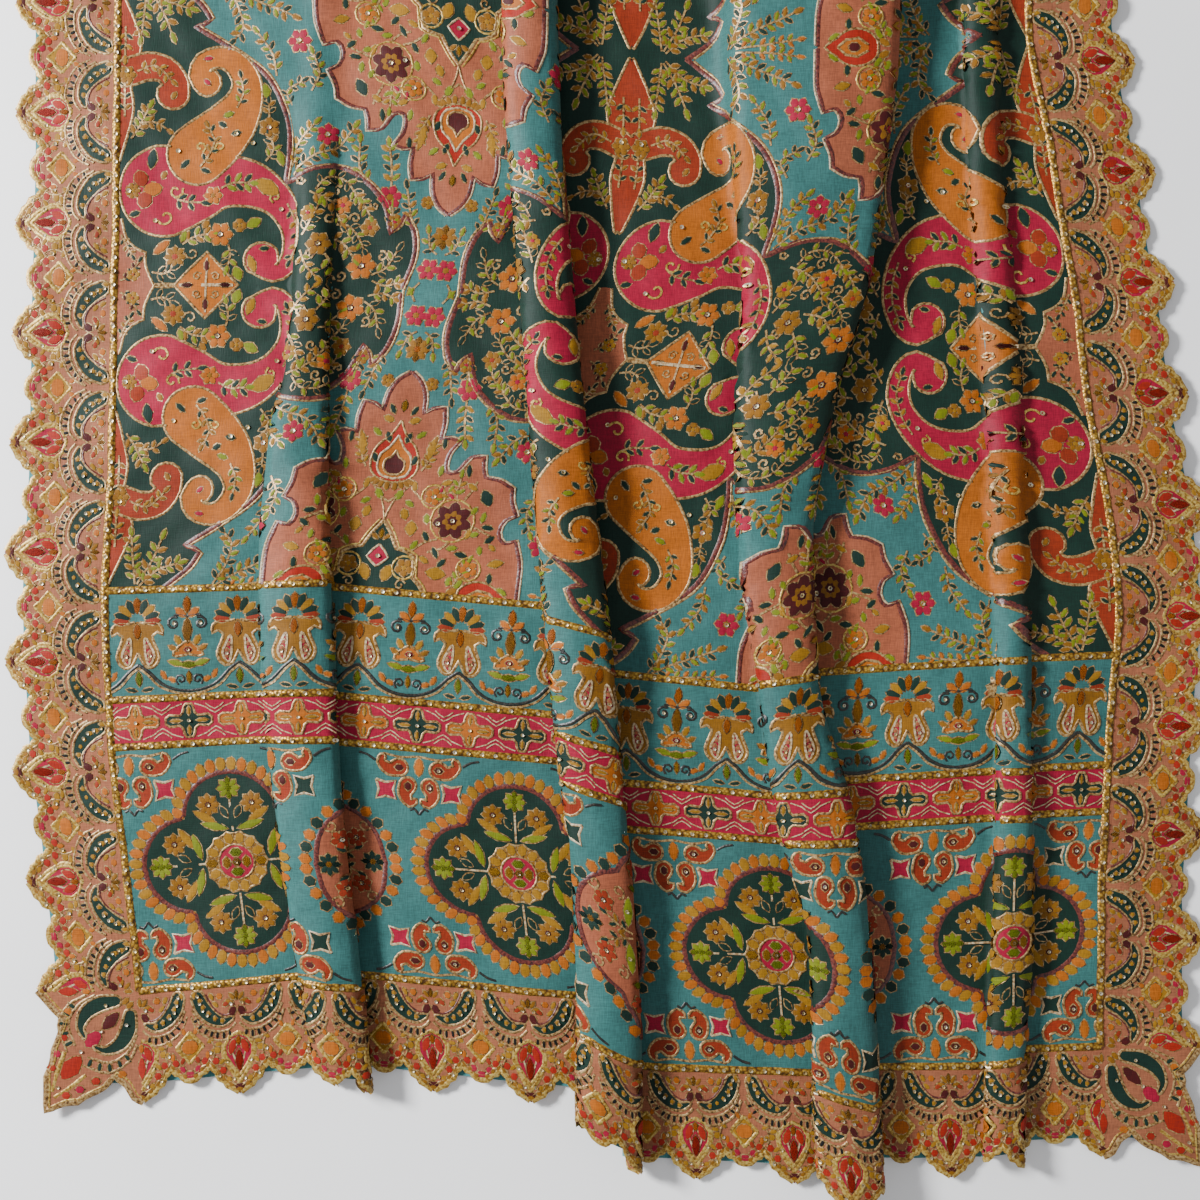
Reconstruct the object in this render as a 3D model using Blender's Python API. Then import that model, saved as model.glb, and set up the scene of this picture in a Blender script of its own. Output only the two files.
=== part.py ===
"""A scalloped silk dupatta laid flat with four soft lengthwise folds. Metres, +Z up, +Y along the cloth."""

import math

import bmesh
import bpy
import numpy as np
from mathutils import Vector
from mathutils.geometry import delaunay_2d_cdt

# The flat cut, measured from the middle of the left inner gold line.
INNER_WIDTH = 0.853
FIELD_HALF = 0.950
END_PANEL = 0.250
SIDE_BORDER = 0.064
HEM_BORDER = 0.070
SIDE_REPEATS = 35
HEM_REPEATS = 14
PANEL_END = FIELD_HALF + END_PANEL

# One border repeat: the share of the repeat, and how much of the border's depth the edge reaches there.
SCALLOP = ((0.00, 1.00), (0.21, 0.87), (0.31, 0.73), (0.50, 0.85), (0.69, 0.73), (0.79, 0.87))
CORNER_NOTCH = (0.018, 0.74)
CORNER_TIP = (0.060, 1.06)
CORNER_SHOULDER = (0.034, 0.95)

SEAM = 0.0003
BASE_HEIGHT = 0.00115
PRINTED_CLOTH = (0.00015, 0.00115)
LINING_CLOTH = (-0.00115, -0.00015)
LINING_SHORT = 0.012
CENTRE = (0.0078, 0.0261)

# Rows along the near half, from the hem to the middle; the far half mirrors them. Each gives its distance
# from the middle, where the left gold line lies across the floor, and how far the right edge hangs down.
SHEET_COLUMNS = ("at", "left_line", "end_drop")
SHEET = (
    (-1.285, -0.285, 0.034),
    (-1.200, -0.288, 0.034),
    (-1.115, -0.297, 0.036),
    (-1.030, -0.306, 0.040),
    (-0.950, -0.309, 0.040),
    (-0.870, -0.305, 0.039),
    (-0.790, -0.304, 0.038),
    (-0.710, -0.302, 0.037),
    (-0.630, -0.301, 0.036),
    (-0.550, -0.301, 0.036),
    (-0.400, -0.303, 0.036),
    (-0.200, -0.302, 0.036),
    (0.000, -0.301, 0.036),
)

# One table for each fold, with a row for each row above: where its left and right edges are seen, its
# height, the cloth tucked under each edge, and how far the cloth hangs down at the left, right and after it.
FOLD_COLUMNS = (
    "left", "right", "height", "left_tuck", "right_tuck", "left_drop", "right_drop", "after_drop",
)
FOLDS = (
    (
        (-0.170, -0.140, 0.0140, 0.0310, 0.0310, -0.011, -0.005, -0.011),
        (-0.185, -0.147, 0.0140, 0.0310, 0.0310, -0.011, -0.005, -0.011),
        (-0.198, -0.157, 0.0140, 0.0310, 0.0310, -0.008, -0.006, -0.007),
        (-0.207, -0.163, 0.0130, 0.0270, 0.0270, -0.005, -0.006, -0.004),
        (-0.211, -0.166, 0.0120, 0.0230, 0.0230, -0.003, -0.005, -0.003),
        (-0.206, -0.169, 0.0105, 0.0185, 0.0185, -0.002, -0.004, -0.002),
        (-0.193, -0.169, 0.0080, 0.0110, 0.0110, -0.002, -0.003, -0.002),
        (-0.190, -0.165, 0.0045, 0.0030, 0.0030, 0.000, 0.000, 0.000),
        (-0.192, -0.161, 0.0012, 0.0001, 0.0001, 0.000, 0.000, 0.000),
        (-0.192, -0.160, 0.0012, 0.0001, 0.0001, 0.000, 0.000, 0.000),
        (-0.192, -0.160, 0.0012, 0.0001, 0.0001, 0.000, 0.000, 0.000),
        (-0.192, -0.160, 0.0012, 0.0001, 0.0001, 0.000, 0.000, 0.000),
        (-0.192, -0.160, 0.0012, 0.0001, 0.0001, 0.000, 0.000, 0.000),
    ),
    (
        (-0.014, 0.025, 0.0180, 0.0490, 0.0305, 0.004, 0.040, 0.046),
        (-0.014, 0.025, 0.0180, 0.0490, 0.0305, 0.004, 0.040, 0.046),
        (-0.016, 0.021, 0.0180, 0.0460, 0.0310, 0.007, 0.036, 0.049),
        (-0.026, 0.013, 0.0190, 0.0410, 0.0400, 0.010, 0.030, 0.050),
        (-0.034, 0.006, 0.0200, 0.0370, 0.0470, 0.010, 0.026, 0.050),
        (-0.040, -0.003, 0.0210, 0.0350, 0.0470, 0.010, 0.026, 0.045),
        (-0.046, -0.012, 0.0220, 0.0350, 0.0440, 0.010, 0.026, 0.042),
        (-0.052, -0.019, 0.0225, 0.0350, 0.0430, 0.010, 0.026, 0.040),
        (-0.058, -0.025, 0.0230, 0.0350, 0.0430, 0.010, 0.026, 0.040),
        (-0.060, -0.027, 0.0230, 0.0350, 0.0430, 0.010, 0.026, 0.040),
        (-0.061, -0.028, 0.0230, 0.0350, 0.0430, 0.010, 0.026, 0.040),
        (-0.059, -0.026, 0.0230, 0.0350, 0.0430, 0.010, 0.026, 0.040),
        (-0.057, -0.024, 0.0230, 0.0350, 0.0430, 0.010, 0.026, 0.040),
    ),
    (
        (0.137, 0.176, 0.0180, 0.0280, 0.0570, 0.051, 0.068, 0.047),
        (0.132, 0.172, 0.0180, 0.0280, 0.0570, 0.051, 0.068, 0.047),
        (0.130, 0.167, 0.0175, 0.0235, 0.0570, 0.055, 0.062, 0.049),
        (0.109, 0.155, 0.0170, 0.0205, 0.0540, 0.059, 0.056, 0.051),
        (0.098, 0.134, 0.0165, 0.0205, 0.0550, 0.061, 0.053, 0.052),
        (0.086, 0.131, 0.0170, 0.0260, 0.0680, 0.058, 0.050, 0.045),
        (0.083, 0.143, 0.0190, 0.0340, 0.0940, 0.055, 0.050, 0.041),
        (0.088, 0.165, 0.0205, 0.0280, 0.1300, 0.052, 0.050, 0.037),
        (0.074, 0.176, 0.0215, 0.0140, 0.1640, 0.050, 0.050, 0.036),
        (0.064, 0.184, 0.0220, 0.0100, 0.1800, 0.049, 0.049, 0.036),
        (0.062, 0.182, 0.0220, 0.0120, 0.1780, 0.049, 0.049, 0.036),
        (0.057, 0.176, 0.0220, 0.0140, 0.1740, 0.049, 0.049, 0.036),
        (0.055, 0.172, 0.0220, 0.0150, 0.1720, 0.049, 0.049, 0.036),
    ),
    (
        (0.238, 0.262, 0.0110, 0.0130, 0.0130, 0.046, 0.040, 0.036),
        (0.240, 0.264, 0.0110, 0.0130, 0.0130, 0.046, 0.040, 0.036),
        (0.244, 0.268, 0.0105, 0.0120, 0.0120, 0.045, 0.042, 0.039),
        (0.246, 0.268, 0.0095, 0.0105, 0.0105, 0.044, 0.043, 0.042),
        (0.246, 0.268, 0.0080, 0.0080, 0.0080, 0.044, 0.043, 0.042),
        (0.244, 0.266, 0.0070, 0.0080, 0.0080, 0.041, 0.041, 0.040),
        (0.240, 0.262, 0.0065, 0.0080, 0.0080, 0.039, 0.039, 0.038),
        (0.234, 0.256, 0.0065, 0.0080, 0.0080, 0.037, 0.037, 0.037),
        (0.228, 0.250, 0.0070, 0.0080, 0.0080, 0.036, 0.036, 0.036),
        (0.226, 0.248, 0.0070, 0.0080, 0.0080, 0.036, 0.036, 0.036),
        (0.226, 0.248, 0.0070, 0.0080, 0.0080, 0.036, 0.036, 0.036),
        (0.226, 0.248, 0.0070, 0.0080, 0.0080, 0.036, 0.036, 0.036),
        (0.226, 0.248, 0.0070, 0.0080, 0.0080, 0.036, 0.036, 0.036),
    ),
)

# Each flank has columns of points at these shares of its turns, and one halfway.
TURN_STEPS = (0.0, 1 / 3, 2 / 3)
FLANK_COLUMNS = 2 * len(TURN_STEPS) + 1
LINE_REACH = 1.2

COLOURS = {
    "printed_silk": (0.060, 0.260, 0.300),
    "end_silk": (0.090, 0.300, 0.330),
    "border_silk": (0.740, 0.260, 0.180),
    "teal_lining": (0.115, 0.400, 0.410),
}


def named_columns(names, rows):
    """A table's columns by name."""
    return dict(zip(names, zip(*rows)))


sheet = named_columns(SHEET_COLUMNS, SHEET)
folds = [named_columns(FOLD_COLUMNS, rows) for rows in FOLDS]
near_stations = sheet["at"][1:]
ROWS = near_stations + tuple(-v for v in reversed(near_stations[:-1]))


def along(v, column):
    """Reads one column smoothly at distance v from the middle, the same on both halves."""
    v = -np.abs(np.asarray(v, float))
    at = np.array(sheet["at"])
    values = np.array(column)
    grade = np.diff(values) / np.diff(at)
    bends = grade[:-1] * grade[1:]
    inner = np.where(bends > 0, 2 * bends / np.where(bends > 0, grade[:-1] + grade[1:], 1), 0)
    slopes = np.concatenate([grade[:1], inner, [0]])
    i = np.clip(np.searchsorted(at, v) - 1, 0, len(at) - 2)
    step = at[i + 1] - at[i]
    t = np.clip((v - at[i]) / step, 0, 1)
    rise = values[i + 1] - values[i]
    bend = t * (1 - t) * ((1 - t) * (slopes[i] * step - rise) - t * (slopes[i + 1] * step - rise))
    return values[i] + t * rise + bend


def turn_angle(tuck, height):
    """The angle that a flank of this height turns to before it hides this much cloth."""
    angles = np.linspace(0.02, math.pi, 400)
    hides = (angles - np.sin(angles)) / (1 - np.cos(angles))
    return np.interp(tuck / height, hides, angles)


def flank(tuck, height):
    """Radius, angle, straight run, length and sideways reach of one rising flank."""
    angle = turn_angle(tuck, height)
    radius = height / (2 * (1 - np.cos(angle)))
    run = np.maximum(tuck - height * math.pi / 2, 0) / 2
    length = 2 * radius * angle + run
    reach = 2 * radius * np.sin(angle) - run
    return radius, angle, run, length, reach


def overhang(side):
    """How far a flank's rolled edge stands out over its foot."""
    radius, angle, run, length, reach = side
    return np.where(angle > math.pi / 2, np.maximum(radius - reach, 0), 0)


def on_flank(s, radius, angle, run):
    """Sideways place, height and slope at length s up a flank."""
    turn = radius * angle
    first = np.clip(s, 0, turn) / radius
    straight = np.clip(s - turn, 0, run)
    second = angle - np.clip(s - turn - run, 0, turn) / radius
    side = radius * np.sin(first) - straight + radius * (np.sin(angle) - np.sin(second))
    height = radius * (1 - np.cos(first)) + radius * (np.cos(second) - np.cos(angle))
    return side, height, np.where(s > turn + run, second, first)


def fold_lines(v):
    """For every fold at v: both flanks, and where each starts across the cloth and on the floor."""
    hidden = np.zeros_like(np.asarray(v, float))
    start = along(v, sheet["left_line"])
    lines = []
    for fold in folds:
        rise = flank(along(v, fold["left_tuck"]), along(v, fold["height"]))
        fall = flank(along(v, fold["right_tuck"]), along(v, fold["height"]))
        foot = along(v, fold["left"]) + overhang(rise)
        end = along(v, fold["right"]) - overhang(fall)
        rise_at = foot - start + hidden
        fall_at = rise_at + rise[3] + (end - fall[4]) - (foot + rise[4])
        hidden = hidden + rise[3] - rise[4] + fall[3] - fall[4]
        lines.append((rise, fall, rise_at, fall_at))
    return lines


def lay(u, v, lift):
    """Where a point of the flat cut lies: u across, v along, lift off the middle of the cloth."""
    u, v = np.broadcast_arrays(np.asarray(u, float), np.asarray(v, float))
    x = along(v, sheet["left_line"]) + u
    z = np.full_like(x, BASE_HEIGHT)
    slope = np.zeros_like(x)
    drop_at = [np.zeros_like(x)]
    drops = [np.zeros_like(x)]
    for fold, (rise, fall, rise_at, fall_at) in zip(folds, fold_lines(v)):
        for side, sign, at in ((rise, 1, rise_at), (fall, -1, fall_at)):
            s = np.clip(u - at, 0, side[3])
            across, up, lean = on_flank(s, side[0], side[1], side[2])
            x = x + across - s
            z = z + sign * up
            slope = slope + np.where((u > at) & (u < at + side[3]), sign * lean, 0)
        drop_at += [rise_at, fall_at, fall_at + fall[3]]
        drops += [along(v, fold[name]) for name in ("left_drop", "right_drop", "after_drop")]
    drop_at.append(np.full_like(x, INNER_WIDTH))
    drops.append(along(v, sheet["end_drop"]))
    drop = drops[0]
    for k in range(len(drops) - 1):
        t = np.clip((u - drop_at[k]) / (drop_at[k + 1] - drop_at[k]), 0, 1)
        drop = drop + t * (drops[k + 1] - drops[k])
    return np.stack(
        [x - np.sin(slope) * lift - CENTRE[0], v - drop + CENTRE[1], z + np.cos(slope) * lift], axis=-1
    )


def columns(v):
    """The places across the cloth, at v, that its folds need."""
    places = []
    for rise, fall, rise_at, fall_at in fold_lines(v):
        for side, at in ((rise, rise_at), (fall, fall_at)):
            turn = side[0] * side[1]
            steps = [turn * share for share in TURN_STEPS]
            steps += [side[3] / 2] + [side[3] - s for s in reversed(steps)]
            places += [float(at + s) for s in steps]
    return places


def material(name):
    made = bpy.data.materials.new(name)
    made.use_nodes = True
    shader = made.node_tree.nodes["Principled BSDF"]
    shader.inputs["Base Color"].default_value = (*COLOURS[name], 1)
    shader.inputs["Roughness"].default_value = 0.62
    shader.inputs["Metallic"].default_value = 0.0
    return made


def closed_cloth(name, flat, faces, lifts, silk):
    """Makes a closed sheet from flat points and the faces between them."""
    flat = np.array(flat)
    low = lay(flat[:, 0], flat[:, 1], lifts[0])
    high = lay(flat[:, 0], flat[:, 1], lifts[1])
    count = len(flat)
    sides = {}
    for face in faces:
        for a, b in zip(face, face[1:] + face[:1]):
            sides[(a, b)] = sides.get((a, b), 0) + 1
    rim = [(a, b) for a, b in sides if (b, a) not in sides]
    solid = [[i + count for i in face] for face in faces]
    solid += [list(reversed(face)) for face in faces]
    for a, b in rim:
        if flat[a][0] < flat[b][0]:
            solid += [[a, b, b + count], [a, b + count, a + count]]
        else:
            solid += [[a, b, a + count], [b, b + count, a + count]]
    mesh = bpy.data.meshes.new(name)
    mesh.from_pydata(np.concatenate([low, high]).tolist(), [], solid)
    build = bmesh.new()
    build.from_mesh(mesh)
    bmesh.ops.delete(build, geom=[p for p in build.verts if not p.link_faces], context="VERTS")
    build.to_mesh(mesh)
    build.free()
    mesh.materials.append(silk)
    piece = bpy.data.objects.new(name, mesh)
    bpy.context.collection.objects.link(piece)
    return piece


def panel(name, rows, left, right, lifts, silk):
    """A rectangular panel between two places across, with a row at each v and every fold's columns."""
    flat = []
    for v in rows:
        flat += [(u, v) for u in [left] + columns(v) + [right]]
    width = len(flat) // len(rows)
    faces = []
    for row in range(len(rows) - 1):
        for column in range(width - 1):
            a = row * width + column
            faces += [[a, a + 1, a + 1 + width], [a, a + 1 + width, a + width]]
    return closed_cloth(name, flat, faces, lifts, silk)


def scalloped(length, repeats, depth):
    """The outer edge between two gold corners, as (place, depth)."""
    repeat = length / repeats
    edge = [((i + share) * repeat, reach * depth) for i in range(repeats) for share, reach in SCALLOP]
    return edge + [(length, depth * SCALLOP[0][1])]


def corner(depth):
    """The outer edge from the last big scallop to the mitre, as (place past the gold corner, depth)."""
    return [
        (CORNER_NOTCH[0], CORNER_NOTCH[1] * depth),
        (CORNER_SHOULDER[0], CORNER_SHOULDER[1] * depth),
        (CORNER_TIP[0], CORNER_TIP[1] * depth),
    ]


def on_columns(edge, inner, far):
    """Moves each outline point that lies on a fold's flank to that flank's nearest column."""
    reach = abs(far - inner)
    starts = columns(inner)
    ends = columns(far)
    moved = []
    for u, depth in edge:
        share = depth / reach
        at = [a + share * (b - a) for a, b in zip(starts, ends)]
        for first in range(0, len(at), FLANK_COLUMNS):
            if at[first] < u < at[first + FLANK_COLUMNS - 1]:
                u = min(at[first:first + FLANK_COLUMNS], key=lambda place: abs(place - u))
        if not moved or u > moved[-1][0]:
            moved.append((u, depth))
    return moved


def inside(point, outline):
    """Whether a flat point lies inside an outline."""
    crossings = 0
    for (ax, ay), (bx, by) in zip(outline, outline[1:] + outline[:1]):
        if (ay > point.y) != (by > point.y):
            crossings += point.x < ax + (point.y - ay) / (by - ay) * (bx - ax)
    return crossings % 2 == 1


def triangulated(outline, lines):
    """Triangles inside a flat outline that keep every line given."""
    points = [Vector(p) for p in outline]
    face = list(range(len(points)))
    edges = []
    for a, b in lines:
        edges.append((len(points), len(points) + 1))
        points += [Vector(a), Vector(b)]
    made = delaunay_2d_cdt(points, edges, [face], 0, 1e-7)
    kept = []
    for corners in made[2]:
        a, b, c = (made[0][i] for i in corners)
        if not inside((a + b + c) / 3, outline):
            continue
        turned = (b - a).cross(c - a) < 0
        kept.append(list(reversed(corners)) if turned else list(corners))
    return [tuple(p) for p in made[0]], kept


def hem(name, end, silk):
    """The scalloped strip across one end; end is -1 for the near hem and 1 for the far hem."""
    inner = PANEL_END + SEAM / 2
    past = [(-u, d) for u, d in reversed(corner(HEM_BORDER))]
    edge = past + scalloped(INNER_WIDTH, HEM_REPEATS, HEM_BORDER)
    edge += [(INNER_WIDTH + u, d) for u, d in corner(HEM_BORDER)]
    mitre = SEAM / 2
    edge[0] = (edge[0][0] + mitre, edge[0][1])
    edge[-1] = (edge[-1][0] - mitre, edge[-1][1])
    far = end * (PANEL_END + HEM_BORDER * LINE_REACH)
    edge = on_columns(edge, end * PANEL_END, far)
    outline = [(u, end * (PANEL_END + d)) for u, d in edge]
    outline += [(INNER_WIDTH - mitre, end * inner), (mitre, end * inner)]
    near = end * (PANEL_END - SEAM)
    lines = list(zip([(u, near) for u in columns(near)], [(u, far) for u in columns(far)]))
    flat, faces = triangulated(outline, lines)
    return closed_cloth(name, flat, faces, PRINTED_CLOTH, silk)


def side(name, right, silk):
    """The scalloped strip down one long edge, from mitre to mitre."""
    tip = (HEM_BORDER * CORNER_TIP[1], CORNER_TIP[0])
    notch = (CORNER_NOTCH[0], CORNER_NOTCH[1] * SIDE_BORDER)
    shoulder = (CORNER_SHOULDER[0], CORNER_SHOULDER[1] * SIDE_BORDER)
    edge = [(-tip[0], tip[1]), (-shoulder[0], shoulder[1]), (-notch[0], notch[1])]
    edge += scalloped(2 * PANEL_END, SIDE_REPEATS, SIDE_BORDER)
    edge += [(2 * PANEL_END + v, d) for v, d in (notch, shoulder, tip)]
    mitre = SEAM / 2
    edge[0] = (edge[0][0] + mitre, edge[0][1])
    edge[-1] = (edge[-1][0] - mitre, edge[-1][1])
    outline = [(-d, v - PANEL_END) for v, d in edge]
    inner = -mitre
    outline += [(inner, PANEL_END - mitre), (inner, mitre - PANEL_END)]
    lines = [((SEAM, v), (-LINE_REACH * SIDE_BORDER, v)) for v in ROWS[1:-1]]
    if right:
        outline = [(INNER_WIDTH - u, v) for u, v in outline]
        lines = [[(INNER_WIDTH - u, v) for u, v in line] for line in lines]
    flat, faces = triangulated(outline, lines)
    return closed_cloth(name, flat, faces, PRINTED_CLOTH, silk)


for old in list(bpy.data.objects):
    bpy.data.objects.remove(old, do_unlink=True)

silks = {name: material(name) for name in COLOURS}
half_seam = SEAM / 2
field_rows = [v for v in ROWS if abs(v) < FIELD_HALF - SEAM]
field_rows = [half_seam - FIELD_HALF] + field_rows + [FIELD_HALF - half_seam]
near_rows = [v for v in ROWS if v < -FIELD_HALF - SEAM][1:]
near_rows = [half_seam - PANEL_END] + near_rows + [-FIELD_HALF - half_seam]
far_rows = [-v for v in reversed(near_rows)]
inner_right = INNER_WIDTH - half_seam
panel("field", field_rows, half_seam, inner_right, PRINTED_CLOTH, silks["printed_silk"])
panel("end_panel_near", near_rows, half_seam, inner_right, PRINTED_CLOTH, silks["end_silk"])
panel("end_panel_far", far_rows, half_seam, inner_right, PRINTED_CLOTH, silks["end_silk"])

lining_side = SIDE_BORDER - LINING_SHORT
lining_end = PANEL_END + HEM_BORDER - LINING_SHORT
lining_rows = [-lining_end] + list(ROWS) + [lining_end]
panel("lining", lining_rows, -lining_side, INNER_WIDTH + lining_side, LINING_CLOTH, silks["teal_lining"])

hem("border_near", -1, silks["border_silk"])
hem("border_far", 1, silks["border_silk"])
side("border_left", False, silks["border_silk"])
side("border_right", True, silks["border_silk"])
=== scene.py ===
"""A printed and embroidered silk dupatta, laid flat on a pale floor and seen from straight above."""

import math

import bpy
import numpy as np
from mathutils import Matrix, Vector
from mathutils.geometry import delaunay_2d_cdt


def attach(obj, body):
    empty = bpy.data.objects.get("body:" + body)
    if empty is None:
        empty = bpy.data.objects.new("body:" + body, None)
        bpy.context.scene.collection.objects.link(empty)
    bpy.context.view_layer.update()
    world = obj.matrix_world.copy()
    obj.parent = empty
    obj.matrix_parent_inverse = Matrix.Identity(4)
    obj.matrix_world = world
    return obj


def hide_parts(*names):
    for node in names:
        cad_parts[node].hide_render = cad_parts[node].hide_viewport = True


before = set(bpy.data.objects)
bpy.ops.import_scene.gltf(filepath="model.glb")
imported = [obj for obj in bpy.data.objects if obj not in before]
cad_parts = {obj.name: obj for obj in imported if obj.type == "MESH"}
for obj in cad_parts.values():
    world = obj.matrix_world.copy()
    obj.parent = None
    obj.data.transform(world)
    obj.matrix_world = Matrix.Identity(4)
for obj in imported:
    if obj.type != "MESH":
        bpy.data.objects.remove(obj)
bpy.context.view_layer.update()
scene = bpy.context.scene

# The floor: smooth, pale, warm-white boards rubbed down and limewashed.
# The dupatta lies on it, so it is only the setting, and wide enough to fill the picture.
FLOOR_SIZE = 6.0
FLOOR_WHITE = (0.95, 0.945, 0.935)
FLOOR_GREY = (0.90, 0.895, 0.885)
FLOOR_ROUGHNESS = 0.7


def plug(tree, made, **inputs):
    """Gives each input of a node a value, or links it to another node's output."""
    for name, given in inputs.items():
        socket = made.inputs[name.replace("_", " ")]
        if isinstance(given, bpy.types.NodeSocket):
            tree.links.new(given, socket)
        else:
            socket.default_value = given


def node(tree, kind, **inputs):
    """A new shader node with its inputs plugged."""
    made = tree.nodes.new("ShaderNode" + kind)
    plug(tree, made, **inputs)
    return made


def new_material(name, **inputs):
    """A procedural material, its node tree and its shader."""
    made = bpy.data.materials.new(name)
    made.use_nodes = True
    shader = made.node_tree.nodes["Principled BSDF"]
    plug(made.node_tree, shader, **inputs)
    return made, made.node_tree, shader


def noise(tree, scale, detail, stretch=(1, 1, 1)):
    """A noise read in the object's own metres."""
    place = node(tree, "TexCoord").outputs["Object"]
    mapped = node(tree, "Mapping", Scale=stretch, Vector=place).outputs["Vector"]
    return node(tree, "TexNoise", Scale=scale, Detail=detail, Vector=mapped).outputs["Fac"]


def ramp(tree, stops, source):
    """A colour ramp driven by a value."""
    made = node(tree, "ValToRGB", Fac=source)
    elements = made.color_ramp.elements
    while len(elements) < len(stops):
        elements.new(0.5)
    for element, (at, colour) in zip(elements, stops):
        element.position = at
        element.color = (*colour, 1)
    return made.outputs["Color"]


floor_material, tree, shader = new_material("limewashed floor", Roughness=FLOOR_ROUGHNESS, Metallic=0.0)
wash = ramp(tree, ((0.35, FLOOR_GREY), (0.65, FLOOR_WHITE)), noise(tree, 5.0, 4.0))
plug(tree, shader, Base_Color=wash)
half = FLOOR_SIZE / 2
mesh = bpy.data.meshes.new("floor")
corners = [(-half, -half, 0), (half, -half, 0), (half, half, 0), (-half, half, 0)]
mesh.from_pydata(corners, [], [(0, 1, 2, 3)])
mesh.materials.append(floor_material)
floor = bpy.data.objects.new("floor", mesh)
scene.collection.objects.link(floor)

# The light: a wide window beyond the left side and the top of the picture, a weak warm fill from the right,
# and the pale room all round.
WINDOW_PLACE = (-1.8, -0.2, 1.25)
WINDOW_AIM = (0.0, -0.95, 0.0)
WINDOW_SIZE = 0.5
WINDOW_POWER = 150
WINDOW_COLOUR = (0.97, 0.98, 1.0)
FILL_PLACE = (1.6, -1.6, 1.6)
FILL_SIZE = 2.0
FILL_POWER = 6
FILL_COLOUR = (1.0, 0.94, 0.88)
ROOM_COLOUR = (0.93, 0.95, 1.0)
ROOM_STRENGTH = 0.5


def area_light(name, place, aim, size, power, colour):
    """A square light that faces a point."""
    data = bpy.data.lights.new(name, "AREA")
    data.shape = "SQUARE"
    data.size = size
    data.energy = power
    data.color = colour
    lamp = bpy.data.objects.new(name, data)
    lamp.location = place
    lamp.rotation_euler = (Vector(aim) - Vector(place)).to_track_quat("-Z", "Y").to_euler()
    scene.collection.objects.link(lamp)


area_light("window", WINDOW_PLACE, WINDOW_AIM, WINDOW_SIZE, WINDOW_POWER, WINDOW_COLOUR)
area_light("fill", FILL_PLACE, WINDOW_AIM, FILL_SIZE, FILL_POWER, FILL_COLOUR)
room = bpy.data.worlds.new("room")
room.use_nodes = True
room.node_tree.nodes["Background"].inputs["Color"].default_value = (*ROOM_COLOUR, 1)
room.node_tree.nodes["Background"].inputs["Strength"].default_value = ROOM_STRENGTH
scene.world = room

# The camera: straight down over the near end, which fills the square picture as in the photograph.
CAMERA_PLACE = (-0.0078, -0.9295, 1.045)
CAMERA_LENS = 50

camera_data = bpy.data.cameras.new("camera")
camera_data.lens = CAMERA_LENS
camera = bpy.data.objects.new("camera", camera_data)
camera.location = CAMERA_PLACE
scene.collection.objects.link(camera)
scene.camera = camera

# The lining: one thin teal silk sheet under the whole dupatta, cut a little short of the scallops and
# caught in the embroidery. It follows the folds at three quarters of their height, clear of the print,
# and shows only in the notches of the edge.
LINING_TEAL = (0.055, 0.20, 0.20)
LINING_LIFT = -0.0014
LINING_FLAT = (0.957, 2.516)
LINING_STEP = (0.006, 0.03)
LINING_LEAST = 0.0002
LINING_RISE = 0.75
SILK_ROUGHNESS = 0.62
SILK_SHEEN = 0.03
SILK_GLOSS = 0.2

# The flat cut, from the middle of the left inner gold line, and how the cloth lies, as in the CAD.
INNER_WIDTH = 0.853
FIELD_HALF = 0.950
PANEL_END = 1.200
SIDE_BORDER = 0.064
HEM_BORDER = 0.070
LINING_SHORT = 0.012
BASE_HEIGHT = 0.00115
CENTRE = (0.0078, 0.0261)
SHEET_COLUMNS = ("at", "left_line", "end_drop")
SHEET = (
    (-1.285, -0.285, 0.034),
    (-1.200, -0.288, 0.034),
    (-1.115, -0.297, 0.036),
    (-1.030, -0.306, 0.040),
    (-0.950, -0.309, 0.040),
    (-0.870, -0.305, 0.039),
    (-0.790, -0.304, 0.038),
    (-0.710, -0.302, 0.037),
    (-0.630, -0.301, 0.036),
    (-0.550, -0.301, 0.036),
    (-0.400, -0.303, 0.036),
    (-0.200, -0.302, 0.036),
    (0.000, -0.301, 0.036),
)
FOLD_COLUMNS = (
    "left", "right", "height", "left_tuck", "right_tuck", "left_drop", "right_drop", "after_drop",
)
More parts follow.
